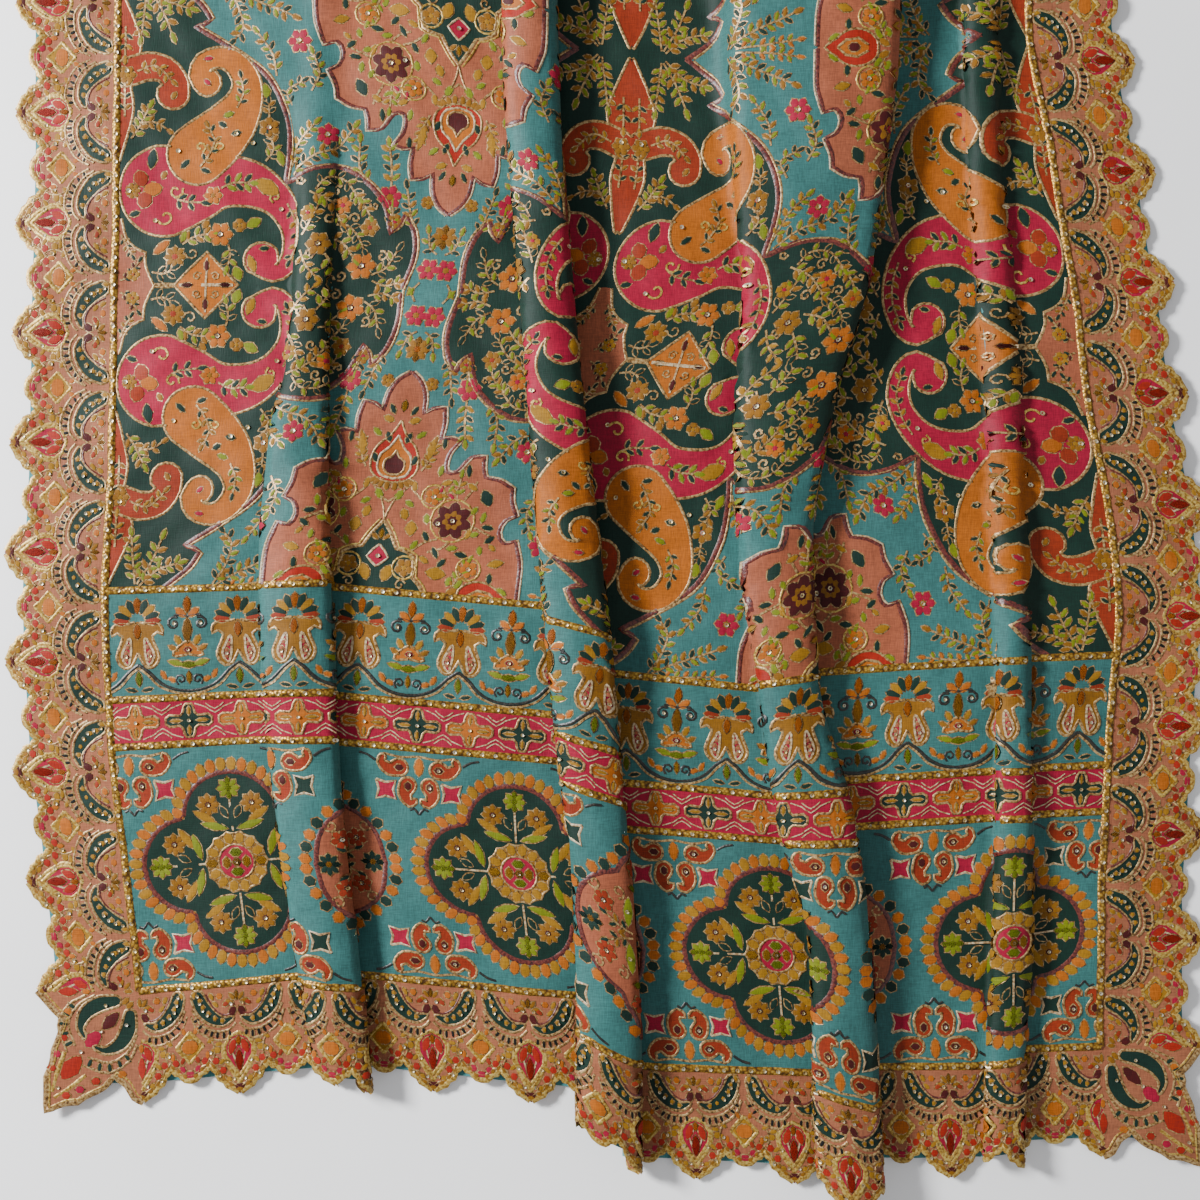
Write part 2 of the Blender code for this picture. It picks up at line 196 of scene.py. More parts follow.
FOLDS = (
    (
        (-0.170, -0.140, 0.0140, 0.0310, 0.0310, -0.011, -0.005, -0.011),
        (-0.185, -0.147, 0.0140, 0.0310, 0.0310, -0.011, -0.005, -0.011),
        (-0.198, -0.157, 0.0140, 0.0310, 0.0310, -0.008, -0.006, -0.007),
        (-0.207, -0.163, 0.0130, 0.0270, 0.0270, -0.005, -0.006, -0.004),
        (-0.211, -0.166, 0.0120, 0.0230, 0.0230, -0.003, -0.005, -0.003),
        (-0.206, -0.169, 0.0105, 0.0185, 0.0185, -0.002, -0.004, -0.002),
        (-0.193, -0.169, 0.0080, 0.0110, 0.0110, -0.002, -0.003, -0.002),
        (-0.190, -0.165, 0.0045, 0.0030, 0.0030, 0.000, 0.000, 0.000),
        (-0.192, -0.161, 0.0012, 0.0001, 0.0001, 0.000, 0.000, 0.000),
        *((-0.192, -0.160, 0.0012, 0.0001, 0.0001, 0.000, 0.000, 0.000),) * 4,
    ),
    (
        (-0.014, 0.025, 0.0180, 0.0490, 0.0305, 0.004, 0.040, 0.046),
        (-0.014, 0.025, 0.0180, 0.0490, 0.0305, 0.004, 0.040, 0.046),
        (-0.016, 0.021, 0.0180, 0.0460, 0.0310, 0.007, 0.036, 0.049),
        (-0.026, 0.013, 0.0190, 0.0410, 0.0400, 0.010, 0.030, 0.050),
        (-0.034, 0.006, 0.0200, 0.0370, 0.0470, 0.010, 0.026, 0.050),
        (-0.040, -0.003, 0.0210, 0.0350, 0.0470, 0.010, 0.026, 0.045),
        (-0.046, -0.012, 0.0220, 0.0350, 0.0440, 0.010, 0.026, 0.042),
        (-0.052, -0.019, 0.0225, 0.0350, 0.0430, 0.010, 0.026, 0.040),
        (-0.058, -0.025, 0.0230, 0.0350, 0.0430, 0.010, 0.026, 0.040),
        (-0.060, -0.027, 0.0230, 0.0350, 0.0430, 0.010, 0.026, 0.040),
        (-0.061, -0.028, 0.0230, 0.0350, 0.0430, 0.010, 0.026, 0.040),
        (-0.059, -0.026, 0.0230, 0.0350, 0.0430, 0.010, 0.026, 0.040),
        (-0.057, -0.024, 0.0230, 0.0350, 0.0430, 0.010, 0.026, 0.040),
    ),
    (
        (0.137, 0.176, 0.0180, 0.0280, 0.0570, 0.051, 0.068, 0.047),
        (0.132, 0.172, 0.0180, 0.0280, 0.0570, 0.051, 0.068, 0.047),
        (0.130, 0.167, 0.0175, 0.0235, 0.0570, 0.055, 0.062, 0.049),
        (0.109, 0.155, 0.0170, 0.0205, 0.0540, 0.059, 0.056, 0.051),
        (0.098, 0.134, 0.0165, 0.0205, 0.0550, 0.061, 0.053, 0.052),
        (0.086, 0.131, 0.0170, 0.0260, 0.0680, 0.058, 0.050, 0.045),
        (0.083, 0.143, 0.0190, 0.0340, 0.0940, 0.055, 0.050, 0.041),
        (0.088, 0.165, 0.0205, 0.0280, 0.1300, 0.052, 0.050, 0.037),
        (0.074, 0.176, 0.0215, 0.0140, 0.1640, 0.050, 0.050, 0.036),
        (0.064, 0.184, 0.0220, 0.0100, 0.1800, 0.049, 0.049, 0.036),
        (0.062, 0.182, 0.0220, 0.0120, 0.1780, 0.049, 0.049, 0.036),
        (0.057, 0.176, 0.0220, 0.0140, 0.1740, 0.049, 0.049, 0.036),
        (0.055, 0.172, 0.0220, 0.0150, 0.1720, 0.049, 0.049, 0.036),
    ),
    (
        (0.238, 0.262, 0.0110, 0.0130, 0.0130, 0.046, 0.040, 0.036),
        (0.240, 0.264, 0.0110, 0.0130, 0.0130, 0.046, 0.040, 0.036),
        (0.244, 0.268, 0.0105, 0.0120, 0.0120, 0.045, 0.042, 0.039),
        (0.246, 0.268, 0.0095, 0.0105, 0.0105, 0.044, 0.043, 0.042),
        (0.246, 0.268, 0.0080, 0.0080, 0.0080, 0.044, 0.043, 0.042),
        (0.244, 0.266, 0.0070, 0.0080, 0.0080, 0.041, 0.041, 0.040),
        (0.240, 0.262, 0.0065, 0.0080, 0.0080, 0.039, 0.039, 0.038),
        (0.234, 0.256, 0.0065, 0.0080, 0.0080, 0.037, 0.037, 0.037),
        (0.228, 0.250, 0.0070, 0.0080, 0.0080, 0.036, 0.036, 0.036),
        *((0.226, 0.248, 0.0070, 0.0080, 0.0080, 0.036, 0.036, 0.036),) * 4,
    ),
)

# Softness the CAD leaves out: round tops on the folds, and low waves and creases over the flat cloth.
CROWN_HEIGHT = 0.0035
CROWN_SHARE = 0.10
WAVES = ((0.0009, 31, 17, 0.4), (0.0006, 73, -28, 1.9), (0.0005, 19, 61, 4.1), (0.0003, 118, 83, 2.2),
         (0.0003, 253, 131, 0.9), (0.00025, -187, 236, 3.3))


def named_columns(names, rows):
    """A table's columns by name."""
    return dict(zip(names, zip(*rows)))


sheet = named_columns(SHEET_COLUMNS, SHEET)
folds = [named_columns(FOLD_COLUMNS, rows) for rows in FOLDS]


def along(v, column):
    """Reads one column smoothly at distance v from the middle, the same on both halves."""
    v = -np.abs(np.asarray(v, float))
    at = np.array(sheet["at"])
    values = np.array(column)
    grade = np.diff(values) / np.diff(at)
    bends = grade[:-1] * grade[1:]
    inner = np.where(bends > 0, 2 * bends / np.where(bends > 0, grade[:-1] + grade[1:], 1), 0)
    slopes = np.concatenate([grade[:1], inner, [0]])
    i = np.clip(np.searchsorted(at, v) - 1, 0, len(at) - 2)
    step = at[i + 1] - at[i]
    t = np.clip((v - at[i]) / step, 0, 1)
    rise = values[i + 1] - values[i]
    bend = t * (1 - t) * ((1 - t) * (slopes[i] * step - rise) - t * (slopes[i + 1] * step - rise))
    return values[i] + t * rise + bend


def turn_angle(tuck, height):
    """The angle that a flank of this height turns to before it hides this much cloth."""
    angles = np.linspace(0.02, math.pi, 400)
    hides = (angles - np.sin(angles)) / (1 - np.cos(angles))
    return np.interp(tuck / height, hides, angles)


def flank(tuck, height):
    """Radius, angle, straight run, length and sideways reach of one rising flank."""
    angle = turn_angle(tuck, height)
    radius = height / (2 * (1 - np.cos(angle)))
    run = np.maximum(tuck - height * math.pi / 2, 0) / 2
    length = 2 * radius * angle + run
    reach = 2 * radius * np.sin(angle) - run
    return radius, angle, run, length, reach


def overhang(side):
    """How far a flank's rolled edge stands out over its foot."""
    radius, angle, run, length, reach = side
    return np.where(angle > math.pi / 2, np.maximum(radius - reach, 0), 0)


def on_flank(s, radius, angle, run):
    """Sideways place, height and slope at length s up a flank."""
    turn = radius * angle
    first = np.clip(s, 0, turn) / radius
    straight = np.clip(s - turn, 0, run)
    second = angle - np.clip(s - turn - run, 0, turn) / radius
    side = radius * np.sin(first) - straight + radius * (np.sin(angle) - np.sin(second))
    height = radius * (1 - np.cos(first)) + radius * (np.cos(second) - np.cos(angle))
    return side, height, np.where(s > turn + run, second, first)


def fold_lines(v):
    """For every fold at v: both flanks, and where each starts across the cloth and on the floor."""
    hidden = np.zeros_like(np.asarray(v, float))
    start = along(v, sheet["left_line"])
    lines = []
    for fold in folds:
        rise = flank(along(v, fold["left_tuck"]), along(v, fold["height"]))
        fall = flank(along(v, fold["right_tuck"]), along(v, fold["height"]))
        foot = along(v, fold["left"]) + overhang(rise)
        end = along(v, fold["right"]) - overhang(fall)
        rise_at = foot - start + hidden
        fall_at = rise_at + rise[3] + (end - fall[4]) - (foot + rise[4])
        hidden = hidden + rise[3] - rise[4] + fall[3] - fall[4]
        lines.append((rise, fall, rise_at, fall_at))
    return lines


def lay(u, v, lift):
    """Where a point of the flat cut lies: u across, v along, lift off the middle of the cloth."""
    u, v = np.broadcast_arrays(np.asarray(u, float), np.asarray(v, float))
    x = along(v, sheet["left_line"]) + u
    z = np.full_like(x, BASE_HEIGHT)
    slope = np.zeros_like(x)
    drop_at = [np.zeros_like(x)]
    drops = [np.zeros_like(x)]
    for fold, (rise, fall, rise_at, fall_at) in zip(folds, fold_lines(v)):
        for side, sign, at in ((rise, 1, rise_at), (fall, -1, fall_at)):
            s = np.clip(u - at, 0, side[3])
            across, up, lean = on_flank(s, side[0], side[1], side[2])
            x = x + across - s
            z = z + sign * up
            slope = slope + np.where((u > at) & (u < at + side[3]), sign * lean, 0)
        top_at = rise_at + rise[3]
        top = np.clip((u - top_at) / np.maximum(fall_at - top_at, 0.001), 0, 1)
        crown = np.minimum(CROWN_HEIGHT, CROWN_SHARE * np.maximum(fall_at - top_at, 0))
        z = z + crown * np.sin(math.pi * top)
        drop_at += [rise_at, fall_at, fall_at + fall[3]]
        drops += [along(v, fold[name]) for name in ("left_drop", "right_drop", "after_drop")]
    for height, turns_across, turns_along, start in WAVES:
        z = z + height * (1 + np.sin(turns_across * u + turns_along * v + start))
    drop_at.append(np.full_like(x, INNER_WIDTH))
    drops.append(along(v, sheet["end_drop"]))
    drop = drops[0]
    for k in range(len(drops) - 1):
        t = np.clip((u - drop_at[k]) / (drop_at[k + 1] - drop_at[k]), 0, 1)
        drop = drop + t * (drops[k + 1] - drops[k])
    places = [x - np.sin(slope) * lift - CENTRE[0], v - drop + CENTRE[1], z + np.cos(slope) * lift]
    return np.stack(places, axis=-1)


def combined(tree, operation, a, b):
    """Two values added or multiplied."""
    made = node(tree, "Math")
    made.operation = operation
    tree.links.new(a, made.inputs[0])
    tree.links.new(b, made.inputs[1])
    return made.outputs["Value"]


def spanned(tree, value, before, after):
    """A value moved from one range to another."""
    (low, high), (least, most) = before, after
    return node(
        tree, "MapRange", Value=value, From_Min=low, From_Max=high, To_Min=least, To_Max=most
    ).outputs["Result"]


def weave_group():
    """Plain-woven silk: takes the dye and gives it back with its slubs, and the height of the threads."""
    group = bpy.data.node_groups.new("plain silk weave", "ShaderNodeTree")
    sockets = (("Dye", "INPUT", "Color"), ("Dye", "OUTPUT", "Color"), ("Height", "OUTPUT", "Float"))
    for name, way, kind in sockets:
        group.interface.new_socket(name=name, in_out=way, socket_type="NodeSocket" + kind)
    given = group.nodes.new("NodeGroupInput")
    result = group.nodes.new("NodeGroupOutput")
    warp = noise(group, 1.0, 1.0, (1500, 170, 1500))
    weft = noise(group, 1.0, 1.0, (170, 1500, 170))
    threads = combined(group, "ADD", warp, weft)
    level = spanned(group, threads, (0.7, 1.3), (0.74, 1.18))
    faded = spanned(group, noise(group, 9.0, 3.0), (0.3, 0.7), (0.86, 1.1))
    dyed = node(group, "VectorMath")
    dyed.operation = "SCALE"
    plug(group, dyed, Vector=given.outputs["Dye"], Scale=combined(group, "MULTIPLY", level, faded))
    plug(group, result, Dye=dyed.outputs["Vector"], Height=threads)
    return group


silk_weave = weave_group()


def relief(tree, shader, strength, distance, height):
    """Gives a material a fine relief."""
    made = node(tree, "Bump", Strength=strength, Distance=distance, Height=height)
    plug(tree, shader, Normal=made.outputs["Normal"])
    return made


def silk(name, dye):
    """A matt silk in one dye."""
    made, tree, shader = new_material(
        name, Roughness=SILK_ROUGHNESS, Metallic=0.0, Sheen_Weight=SILK_SHEEN, Specular_IOR_Level=SILK_GLOSS
    )
    weave = node(tree, "Group")
    weave.node_tree = silk_weave
    plug(tree, weave, Dye=(*dye, 1))
    plug(tree, shader, Base_Color=weave.outputs["Dye"])
    relief(tree, shader, 0.35, 0.0003, weave.outputs["Height"])
    return made


def cloth_object(name, mesh, materials):
    """A smooth mesh of flat points laid with the cloth."""
    flat, lifts, faces, dyes = mesh
    made = bpy.data.meshes.new(name)
    made.from_pydata(lay(flat[:, 0], flat[:, 1], lifts).tolist(), [], faces.tolist())
    for used in materials:
        made.materials.append(used)
    made.polygons.foreach_set("material_index", np.asarray(dyes, dtype=np.int32))
    made.polygons.foreach_set("use_smooth", np.ones(len(faces), dtype=bool))
    made.update()
    piece = bpy.data.objects.new(name, made)
    scene.collection.objects.link(piece)
    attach(piece, "root")
    return piece


lining_side = SIDE_BORDER - LINING_SHORT
lining_end = PANEL_END + HEM_BORDER - LINING_SHORT
across = np.linspace(-lining_side, INNER_WIDTH + lining_side, round(LINING_FLAT[0] / LINING_STEP[0]))
down = np.linspace(-lining_end, lining_end, round(LINING_FLAT[1] / LINING_STEP[1]))
grid = np.stack(np.meshgrid(across, down), axis=-1).reshape(-1, 2)
corner = np.arange(len(grid) - len(across))
corner = corner[corner % len(across) < len(across) - 1]
quads = np.stack([corner, corner + 1, corner + 1 + len(across), corner + len(across)], axis=1)
lining_mesh = (grid, np.full(len(grid), LINING_LIFT), quads, np.zeros(len(quads)))
lining = cloth_object("lining_silk", lining_mesh, [silk("teal lining", LINING_TEAL)])
for point in lining.data.vertices:
    point.co.z = max(point.co.z * LINING_RISE, LINING_LEAST)
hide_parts("lining")

# The printed field: one width of silk, block printed in flat dyes with a mirrored repeat of teal and
# dark-green grounds, raspberry and orange paisleys, pink lotuses and rhombs. All drafted here on squared
# paper, 344 by 306 squares to a quarter of the repeat: across from the rhomb, down from the diamond.
QUARTER = (344, 306)
QUARTERS_ACROSS = 4
QUARTERS_DOWN = 5
PRINT_LIFT = 0.0010
PRINT_STEP = 9.0
LINE_STEP = 7.0
STEM_STEP = 6.5
LEAF_SPLAY = 52
WELD = 2e-6
DYES = {
    "teal": (114, 168, 164),
    "dark green": (20, 70, 58),
    "raspberry": (226, 30, 92),
    "orange": (255, 158, 44),
    "rust": (208, 92, 38),
    "pink": (234, 148, 120),
    "lime": (186, 196, 36),
    "mustard": (232, 178, 70),
    "maroon": (104, 18, 32),
    "vermilion": (228, 84, 44),
    "bronze": (206, 150, 88),
    "black": (24, 24, 22),
    "salmon": (232, 158, 128),
}
DYE_NAMES = list(DYES)
DYE_STRENGTH = 1.35
DYE_DEPTH = 0.25


def from_screen(colour):
    """A colour as seen on a screen, as linear light."""
    return tuple(c / 12.92 / 255 if c < 10 else ((c / 255 + 0.055) / 1.055) ** 2.4 for c in colour)


def deepened(colour):
    """A dye as it is in the cloth, stronger than it looks in bright light."""
    grey = 0.21 * colour[0] + 0.72 * colour[1] + 0.07 * colour[2]
    return tuple(max(0.002, (grey + (c - grey) * DYE_STRENGTH) * DYE_DEPTH) for c in colour)


silks = [silk(name, deepened(from_screen(DYES[name]))) for name in DYE_NAMES]


def drafted(points):
    """Points as numbers. They may be written as text, as in "3,4 5,6"."""
    if isinstance(points, str):
        points = [pair.split(",") for pair in points.split()]
    return np.asarray(points, float)


def curve(points, step=LINE_STEP):
    """A smooth line through points, with a point about every step squares."""
    points = drafted(points)
    ends = np.concatenate([2 * points[:1] - points[1:2], points, 2 * points[-1:] - points[-2:-1]])
    line = []
    for a, b, c, d in zip(ends, ends[1:], ends[2:], ends[3:]):
        count = max(1, math.ceil(np.hypot(*(c - b)[:2]) / step))
        t = np.arange(count)[:, None] / count
        square, cube = 2 * a - 5 * b + 4 * c - d, 3 * b - a - 3 * c + d
        line.append(0.5 * (2 * b + (c - a) * t + square * t**2 + cube * t**3))
    return np.concatenate(line + [points[-1:]])


def arcs(*parts):
    """Smooth arcs one after another, with a corner where two meet."""
    return np.concatenate([curve(part)[:-1] for part in parts] + [drafted(parts[-1])[-1:]])


def round_shape(x, y, radius, lobes=0, swell=0.0, points=16):
    """A disc, or with lobes a scalloped flower shape."""
    angle = np.arange(points) * 2 * math.pi / points
    reach = radius * (1 + swell * np.cos(lobes * angle))
    return np.stack([x + reach * np.cos(angle), y + reach * np.sin(angle)], axis=1)


def polar(x, y, reach, degrees):
    """The point at this distance and angle from another."""
    return x + reach * math.cos(math.radians(degrees)), y + reach * math.sin(math.radians(degrees))


def brush(spine, step=LINE_STEP):
    """The outline of a brush stroke; the spine gives x, y and half-width."""
    line = curve(spine, step)
    slope = np.gradient(line[:, :2], axis=0)
    slope /= np.hypot(slope[:, 0], slope[:, 1])[:, None]
    aside = np.stack([-slope[:, 1], slope[:, 0]], axis=1) * line[:, 2:]
    ends = []
    for centre, out, width in ((line[-1], slope[-1], line[-1, 2]), (line[0], -slope[0], line[0, 2])):
        count = max(2, round(math.pi * width / step))
        turn = np.arange(1, count)[:, None] / count * math.pi
        side = np.array([-out[1], out[0]])
        ends.append(centre[:2] + width * (np.cos(turn) * side + np.sin(turn) * out))
    return np.concatenate([line[:, :2] + aside, ends[0], (line[:, :2] - aside)[::-1], ends[1]])


class Board:
    """Squared paper for one repeat: its dye shapes, threads, stitched leaves and sequins."""

    def __init__(self, width, height):
        self.size = (width, height)
        self.fills = []
        self.lines = []
        self.leaves = []
        self.sequins = []

    def fill(self, dye, outline):
        """A shape in one dye, over those before it."""
        self.fills.append((DYE_NAMES.index(dye), drafted(outline)))

    def cord(self, line, thread="gold", width=1.3):
        """A couched thread along a line."""
        self.lines.append((drafted(line), THREAD_NAMES.index(thread), width, len(self.fills)))

    def ring(self, outline, thread="gold", width=1.3):
        """A couched thread round a shape."""
        self.cord(np.concatenate([outline, outline[:1]]), thread, width)

    def shape(self, dye, outline, thread="gold", width=1.3):
        """A dyed shape with a thread round it."""
        self.fill(dye, outline)
        self.ring(outline, thread, width)

    def leaf(self, x, y, angle, length, width, dye, blunt=0.8):
        """A stitched leaf or petal: its middle, the way it points in degrees, its size and dye."""
        self.leaves.append((x, y, math.radians(angle), length, width, DYE_NAMES.index(dye), blunt))

    def foliage(self, dye, blunt, rows):
        """Leaves in one dye; each row gives the place, angle, length and width."""
        for row in drafted(rows):
            self.leaf(*row, dye, blunt)

    def flower(self, x, y, radius, petals, dye, heart="bronze", turn=0.0):
        """A small flower of round petals."""
        for k in range(petals):
            angle = turn + 360 * k / petals
            place = polar(x, y, radius * 0.62, angle)
            self.leaf(*place, angle, radius * 0.8, radius * 4.2 / petals, dye, 0.55)
        self.leaf(x, y, 0, radius * 0.6, radius * 0.6, heart, 0.5)

    def sprig(self, path, dyes, size=9.0, gap=9.0):
        """A stem with a pair of leaves at every gap and one at its tip."""
        dyes = dyes.split(", ")
        stem = curve(path, STEM_STEP)
        self.cord(stem, "gold", 0.8)
        length = np.concatenate([[0], np.cumsum(np.hypot(*np.diff(stem, axis=0).T))])
        slope = np.gradient(stem, axis=0)
        for k, at in enumerate(np.arange(gap * 0.7, length[-1] - gap * 0.3, gap)):
            x, y, sx, sy = (np.interp(at, length, row) for row in (*stem.T, *slope.T))
            for side in (-1, 1):
                angle = math.degrees(math.atan2(sy, sx)) + side * LEAF_SPLAY
                dye = dyes[(k + (side > 0)) % len(dyes)]
                self.leaf(*polar(x, y, size * 0.6, angle), angle, size, size * 0.48, dye)
        heading = math.degrees(math.atan2(slope[-1, 1], slope[-1, 0]))
        self.leaf(*polar(*stem[-1], size * 0.6, heading), heading, size * 1.2, size * 0.55, dyes[0])

    def curl(self, x, y, radius, angle, turns=1.2, thread="gold", width=0.7):
        """A small coil of thread; a negative turn count coils the other way."""
        sweep = np.linspace(0, 1, max(6, round(abs(turns) * radius * 1.3)))
        turn = math.radians(angle) + sweep * turns * 2 * math.pi
        reach = radius * (1 - 0.75 * sweep)
        self.cord(np.stack([x + reach * np.cos(turn), y + reach * np.sin(turn)], axis=1), thread, width)

    def within(self, points):
        """Whether points lie on the paper."""
        return ((points > -0.01) & (points < np.array(self.size) + 0.01)).all(axis=1)


# Each thread's colours: painted shade between its turns, its own colour, and painted highlight on the turns.
THREADS = {
    "gold": ((84, 54, 22), (170, 122, 58), (234, 196, 132)),
    "maroon": ((50, 8, 8), (100, 24, 18), (142, 62, 44)),
    "bright gold": ((128, 88, 20), (206, 154, 48), (250, 216, 116)),
    "black": ((6, 8, 7), (16, 20, 16), (56, 50, 34)),
    "cream": ((120, 88, 52), (200, 158, 102), (246, 222, 176)),
}
THREAD_NAMES = list(THREADS)


def holds(outline, points):
    """Which points an outline winds round."""
    a = outline[:, None]
    b = np.roll(outline, -1, axis=0)[:, None]
    turn = (b[..., 0] - a[..., 0]) * (points[:, 1] - a[..., 1])
    turn = turn - (points[:, 0] - a[..., 0]) * (b[..., 1] - a[..., 1])
    up = (a[..., 1] <= points[:, 1]) & (b[..., 1] > points[:, 1]) & (turn > 0)
    down = (a[..., 1] > points[:, 1]) & (b[..., 1] <= points[:, 1]) & (turn < 0)
    return up.sum(axis=0) != down.sum(axis=0)


def cut_print(board, step=PRINT_STEP):
    """Cuts the paper along every shape into triangles, each in the dye of the topmost shape there."""
    width, height = board.size
    across = np.linspace(0, width, max(2, round(width / step) + 1))
    down = np.linspace(0, height, max(2, round(height / step) + 1))
    grid = np.stack(np.meshgrid(across, down), axis=-1).reshape(-1, 2)
    inked = np.concatenate([outline for dye, outline in board.fills])
    gap = np.array([np.min(np.sum((inked - point) ** 2, axis=1)) for point in grid])
    edge = (grid[:, 0] % width < 0.001) | (grid[:, 1] % height < 0.001)
    points = [Vector(p) for p in grid[edge | (gap > (step * 0.42) ** 2)]]
    edges = []
    paper = drafted([(0, 0), (width, 0), (width, height), (0, height)])
    for outline in [paper] + [outline for dye, outline in board.fills]:
        first, count = len(points), len(outline)
        points += [Vector(p) for p in outline]
        edges += [(first + k, first + (k + 1) % count) for k in range(count)]
    made = delaunay_2d_cdt(points, edges, [], 0, 1e-4)
    flat = np.array([tuple(p) for p in made[0]])
    faces = np.array([tuple(face) for face in made[2]])
    middle = flat[faces].mean(axis=1)
    dyes = np.full(len(faces), -1)
    for dye, outline in board.fills:
        dyes[holds(outline, middle)] = dye
    kept = (dyes >= 0) & board.within(middle)
    faces = faces[kept]
    a, b, c = (flat[faces[:, k]] for k in range(3))
    turned = (b[:, 0] - a[:, 0]) * (c[:, 1] - a[:, 1]) < (b[:, 1] - a[:, 1]) * (c[:, 0] - a[:, 0])
    faces[turned] = faces[turned][:, ::-1]
    return flat, np.full(len(flat), PRINT_LIFT), faces, dyes[kept]


def joined(meshes):
    """Drafted meshes as one; each has flat points, their lifts, triangles and the triangles' dyes."""
    flat, lifts, faces, dyes = zip(*meshes)
    before = np.cumsum([0] + [len(points) for points in flat])
    faces = [tris + count for tris, count in zip(faces, before)]
    return tuple(np.concatenate(rows) for rows in (flat, lifts, faces, dyes))


def spread(parts, places, welded=False):
    """Repeats drafted meshes at each place: its origin, and one square across and one down, in metres."""
    copies = []
    for flat, lifts, faces, dyes in parts:
        for origin, across, down in places:
            here = np.array(origin) + flat[:, :1] * across + flat[:, 1:] * down
            turned = across[0] * down[1] - across[1] * down[0] < 0
            copies.append((here, lifts, faces[:, ::-1] if turned else faces, dyes))
    flat, lifts, faces, dyes = joined(copies)
    if welded:
        keys = np.round(flat / WELD).astype(np.int64)
        _, first, back = np.unique(keys, axis=0, return_index=True, return_inverse=True)
        flat, lifts, faces = flat[first], lifts[first], back.reshape(-1)[faces]
    used, back = np.unique(faces, return_inverse=True)
    return flat[used], lifts[used], back.reshape(faces.shape), dyes


field_board = Board(*QUARTER)
b = field_board
b.fill("teal", "-9,-9 353,-9 353,315 -9,315")
ground_edge = arcs(
    "313,-4 318,34 313,60 301,78", "301,78 297,66 290,58", "290,58 276,92 240,118 204,118 170,104",
    "170,104 174,138 170,172 150,212 114,240 78,262", "78,262 86,264 94,269",
    "94,269 84,284 68,297 50,310",
)
b.fill("dark green", np.concatenate([ground_edge, [(-9, 312), (-9, -9), (313, -9)]]))
b.cord(ground_edge, "maroon", 2.4)
b.cord(ground_edge + (3.2, 1.6), "gold", 1.2)
rhomb_edge = arcs("41,0 36,9 31,22 31,34", "31,34 20,39 11,49 6,68")
b.fill("pink", np.concatenate([rhomb_edge, [(-9, 70), (-9, -9), (41, -9)]]))
b.cord(rhomb_edge)
b.sprig("6,6 14,10 24,24", "dark green, maroon", 6, 7)
b.sprig("6,52 11,42 17,32", "dark green, bronze", 6, 7)
corners = [(61, 0), (93, 34), (125, 0), (93, -34), (61, 0)]
diamond = np.concatenate([np.linspace(one, two, 7)[:-1] for one, two in zip(corners, corners[1:])])
b.shape("orange", diamond)
b.cord("41,1 50,1.5 61,1")
b.cord("93,0 93,14", "cream", 0.8)
b.cord("93,14 93,28", "cream", 0.8)
b.cord("66,0.6 93,0.6 120,0.6", "cream", 0.8)
b.curl(84, 9, 5, 30)
b.curl(102, 9, 5, 150, -1.2)
comma = brush(
    "50,96,46 84,103,37 112,106,26.5 140,101,22 163,86,16 "
    "177,64,12.5 180,42,11 174,22,9.5 161,12,9 148,26,18"
)
b.shape("raspberry", comma)
paisley = brush(
    "82,133,31 100,149,29 116,166,25 127,185,19 130,203,15 "
    "125,217,13 114,228,11.5 100,231,10.5 87,226,10 82,214,11 90,206,14"
)
b.shape("orange", paisley)
b.shape("rust", brush("2,126,2 3,150,8 4,180,13 5,207,9 5,228,16 5,245,19 4,268,13 2,300,1"))
b.shape("rust", brush("10,214,14 30,221,14 48,218,13 58,205,13 56,194,16"))
lotus_edge = arcs(
    "0,81 11,90 18,104 20,122", "20,122 29,116 40,114", "40,114 43,130 42,146", "42,146 52,144 62,147",
    "62,147 53,162 53,178 64,178 75,163 89,160", "89,160 90,172 93,181", "93,181 108,183 122,190",
    "122,190 124,204 131,218", "131,218 120,224 116,236 122,246 134,243",
    "134,243 139,256 143,272 144,312",
)
lotus_edge[:, 0] = QUARTER[0] - lotus_edge[:, 0]
b.fill("pink", np.concatenate([lotus_edge, [(353, 312), (353, 81)]]))
b.cord(lotus_edge, "maroon", 2.0)
b.cord(lotus_edge - (2.6, 1.0), "cream", 1.0)
flame = arcs("0,131 8,146 19,157 24,172 22,184 12,192 0,194")
core = arcs("0,146 7,158 15,166 17,178 12,187 0,190")
heart = arcs("0,161 4,168 10,172 10,181 4,186 0,186")
for dye, part in (("vermilion", flame), ("orange", core), ("maroon", heart)):
    part[:, 0] = QUARTER[0] - part[:, 0]
    b.fill(dye, np.concatenate([part, [(353, part[-1, 1]), (353, part[0, 1])]]))
    b.cord(part, "gold" if dye != "orange" else "cream", 1.1)
for reach, angle in ((4, 90), (10, 112), (15, 138), (19, 160)):
    b.leaf(QUARTER[0] - reach, 199 - reach * 0.34, angle, 9, 5.5, "bronze", 0.6)
trefoil = arcs("0,233 9,246 17,261", "17,261 27,263 36,268", "36,268 37,279 38,290", "38,290 46,298 53,312")
trefoil[:, 0] = QUARTER[0] - trefoil[:, 0]
b.fill("dark green", np.concatenate([trefoil, [(353, 312), (353, 233)]]))
b.cord(trefoil, "gold", 1.6)
b.cord(trefoil - (3.4, 1.6), "bright gold", 1.0)
b.fill("raspberry", "344,258 333,271 344,281 355,271")
b.cord("344,258 338,264 333,271 338,276 344,281", "cream", 1.0)
b.curl(318, 298, 6, 200, 1.1)
b.sprig("301,212 294,202 280,199", "lime, mustard, raspberry", 8, 8)
b.sprig("268,300 262,286 254,270", "lime, bronze", 8, 8)
side_flame = arcs("84,312 85,298 97,289 113,289 126,297 137,306 137,312")
side_flame[:, 0] = QUARTER[0] - side_flame[:, 0]
b.shape("vermilion", side_flame, "gold", 1.1)
b.shape("orange", np.array([(252, 312), (250, 303), (240, 297), (228, 299), (220, 306), (220, 312)], float))
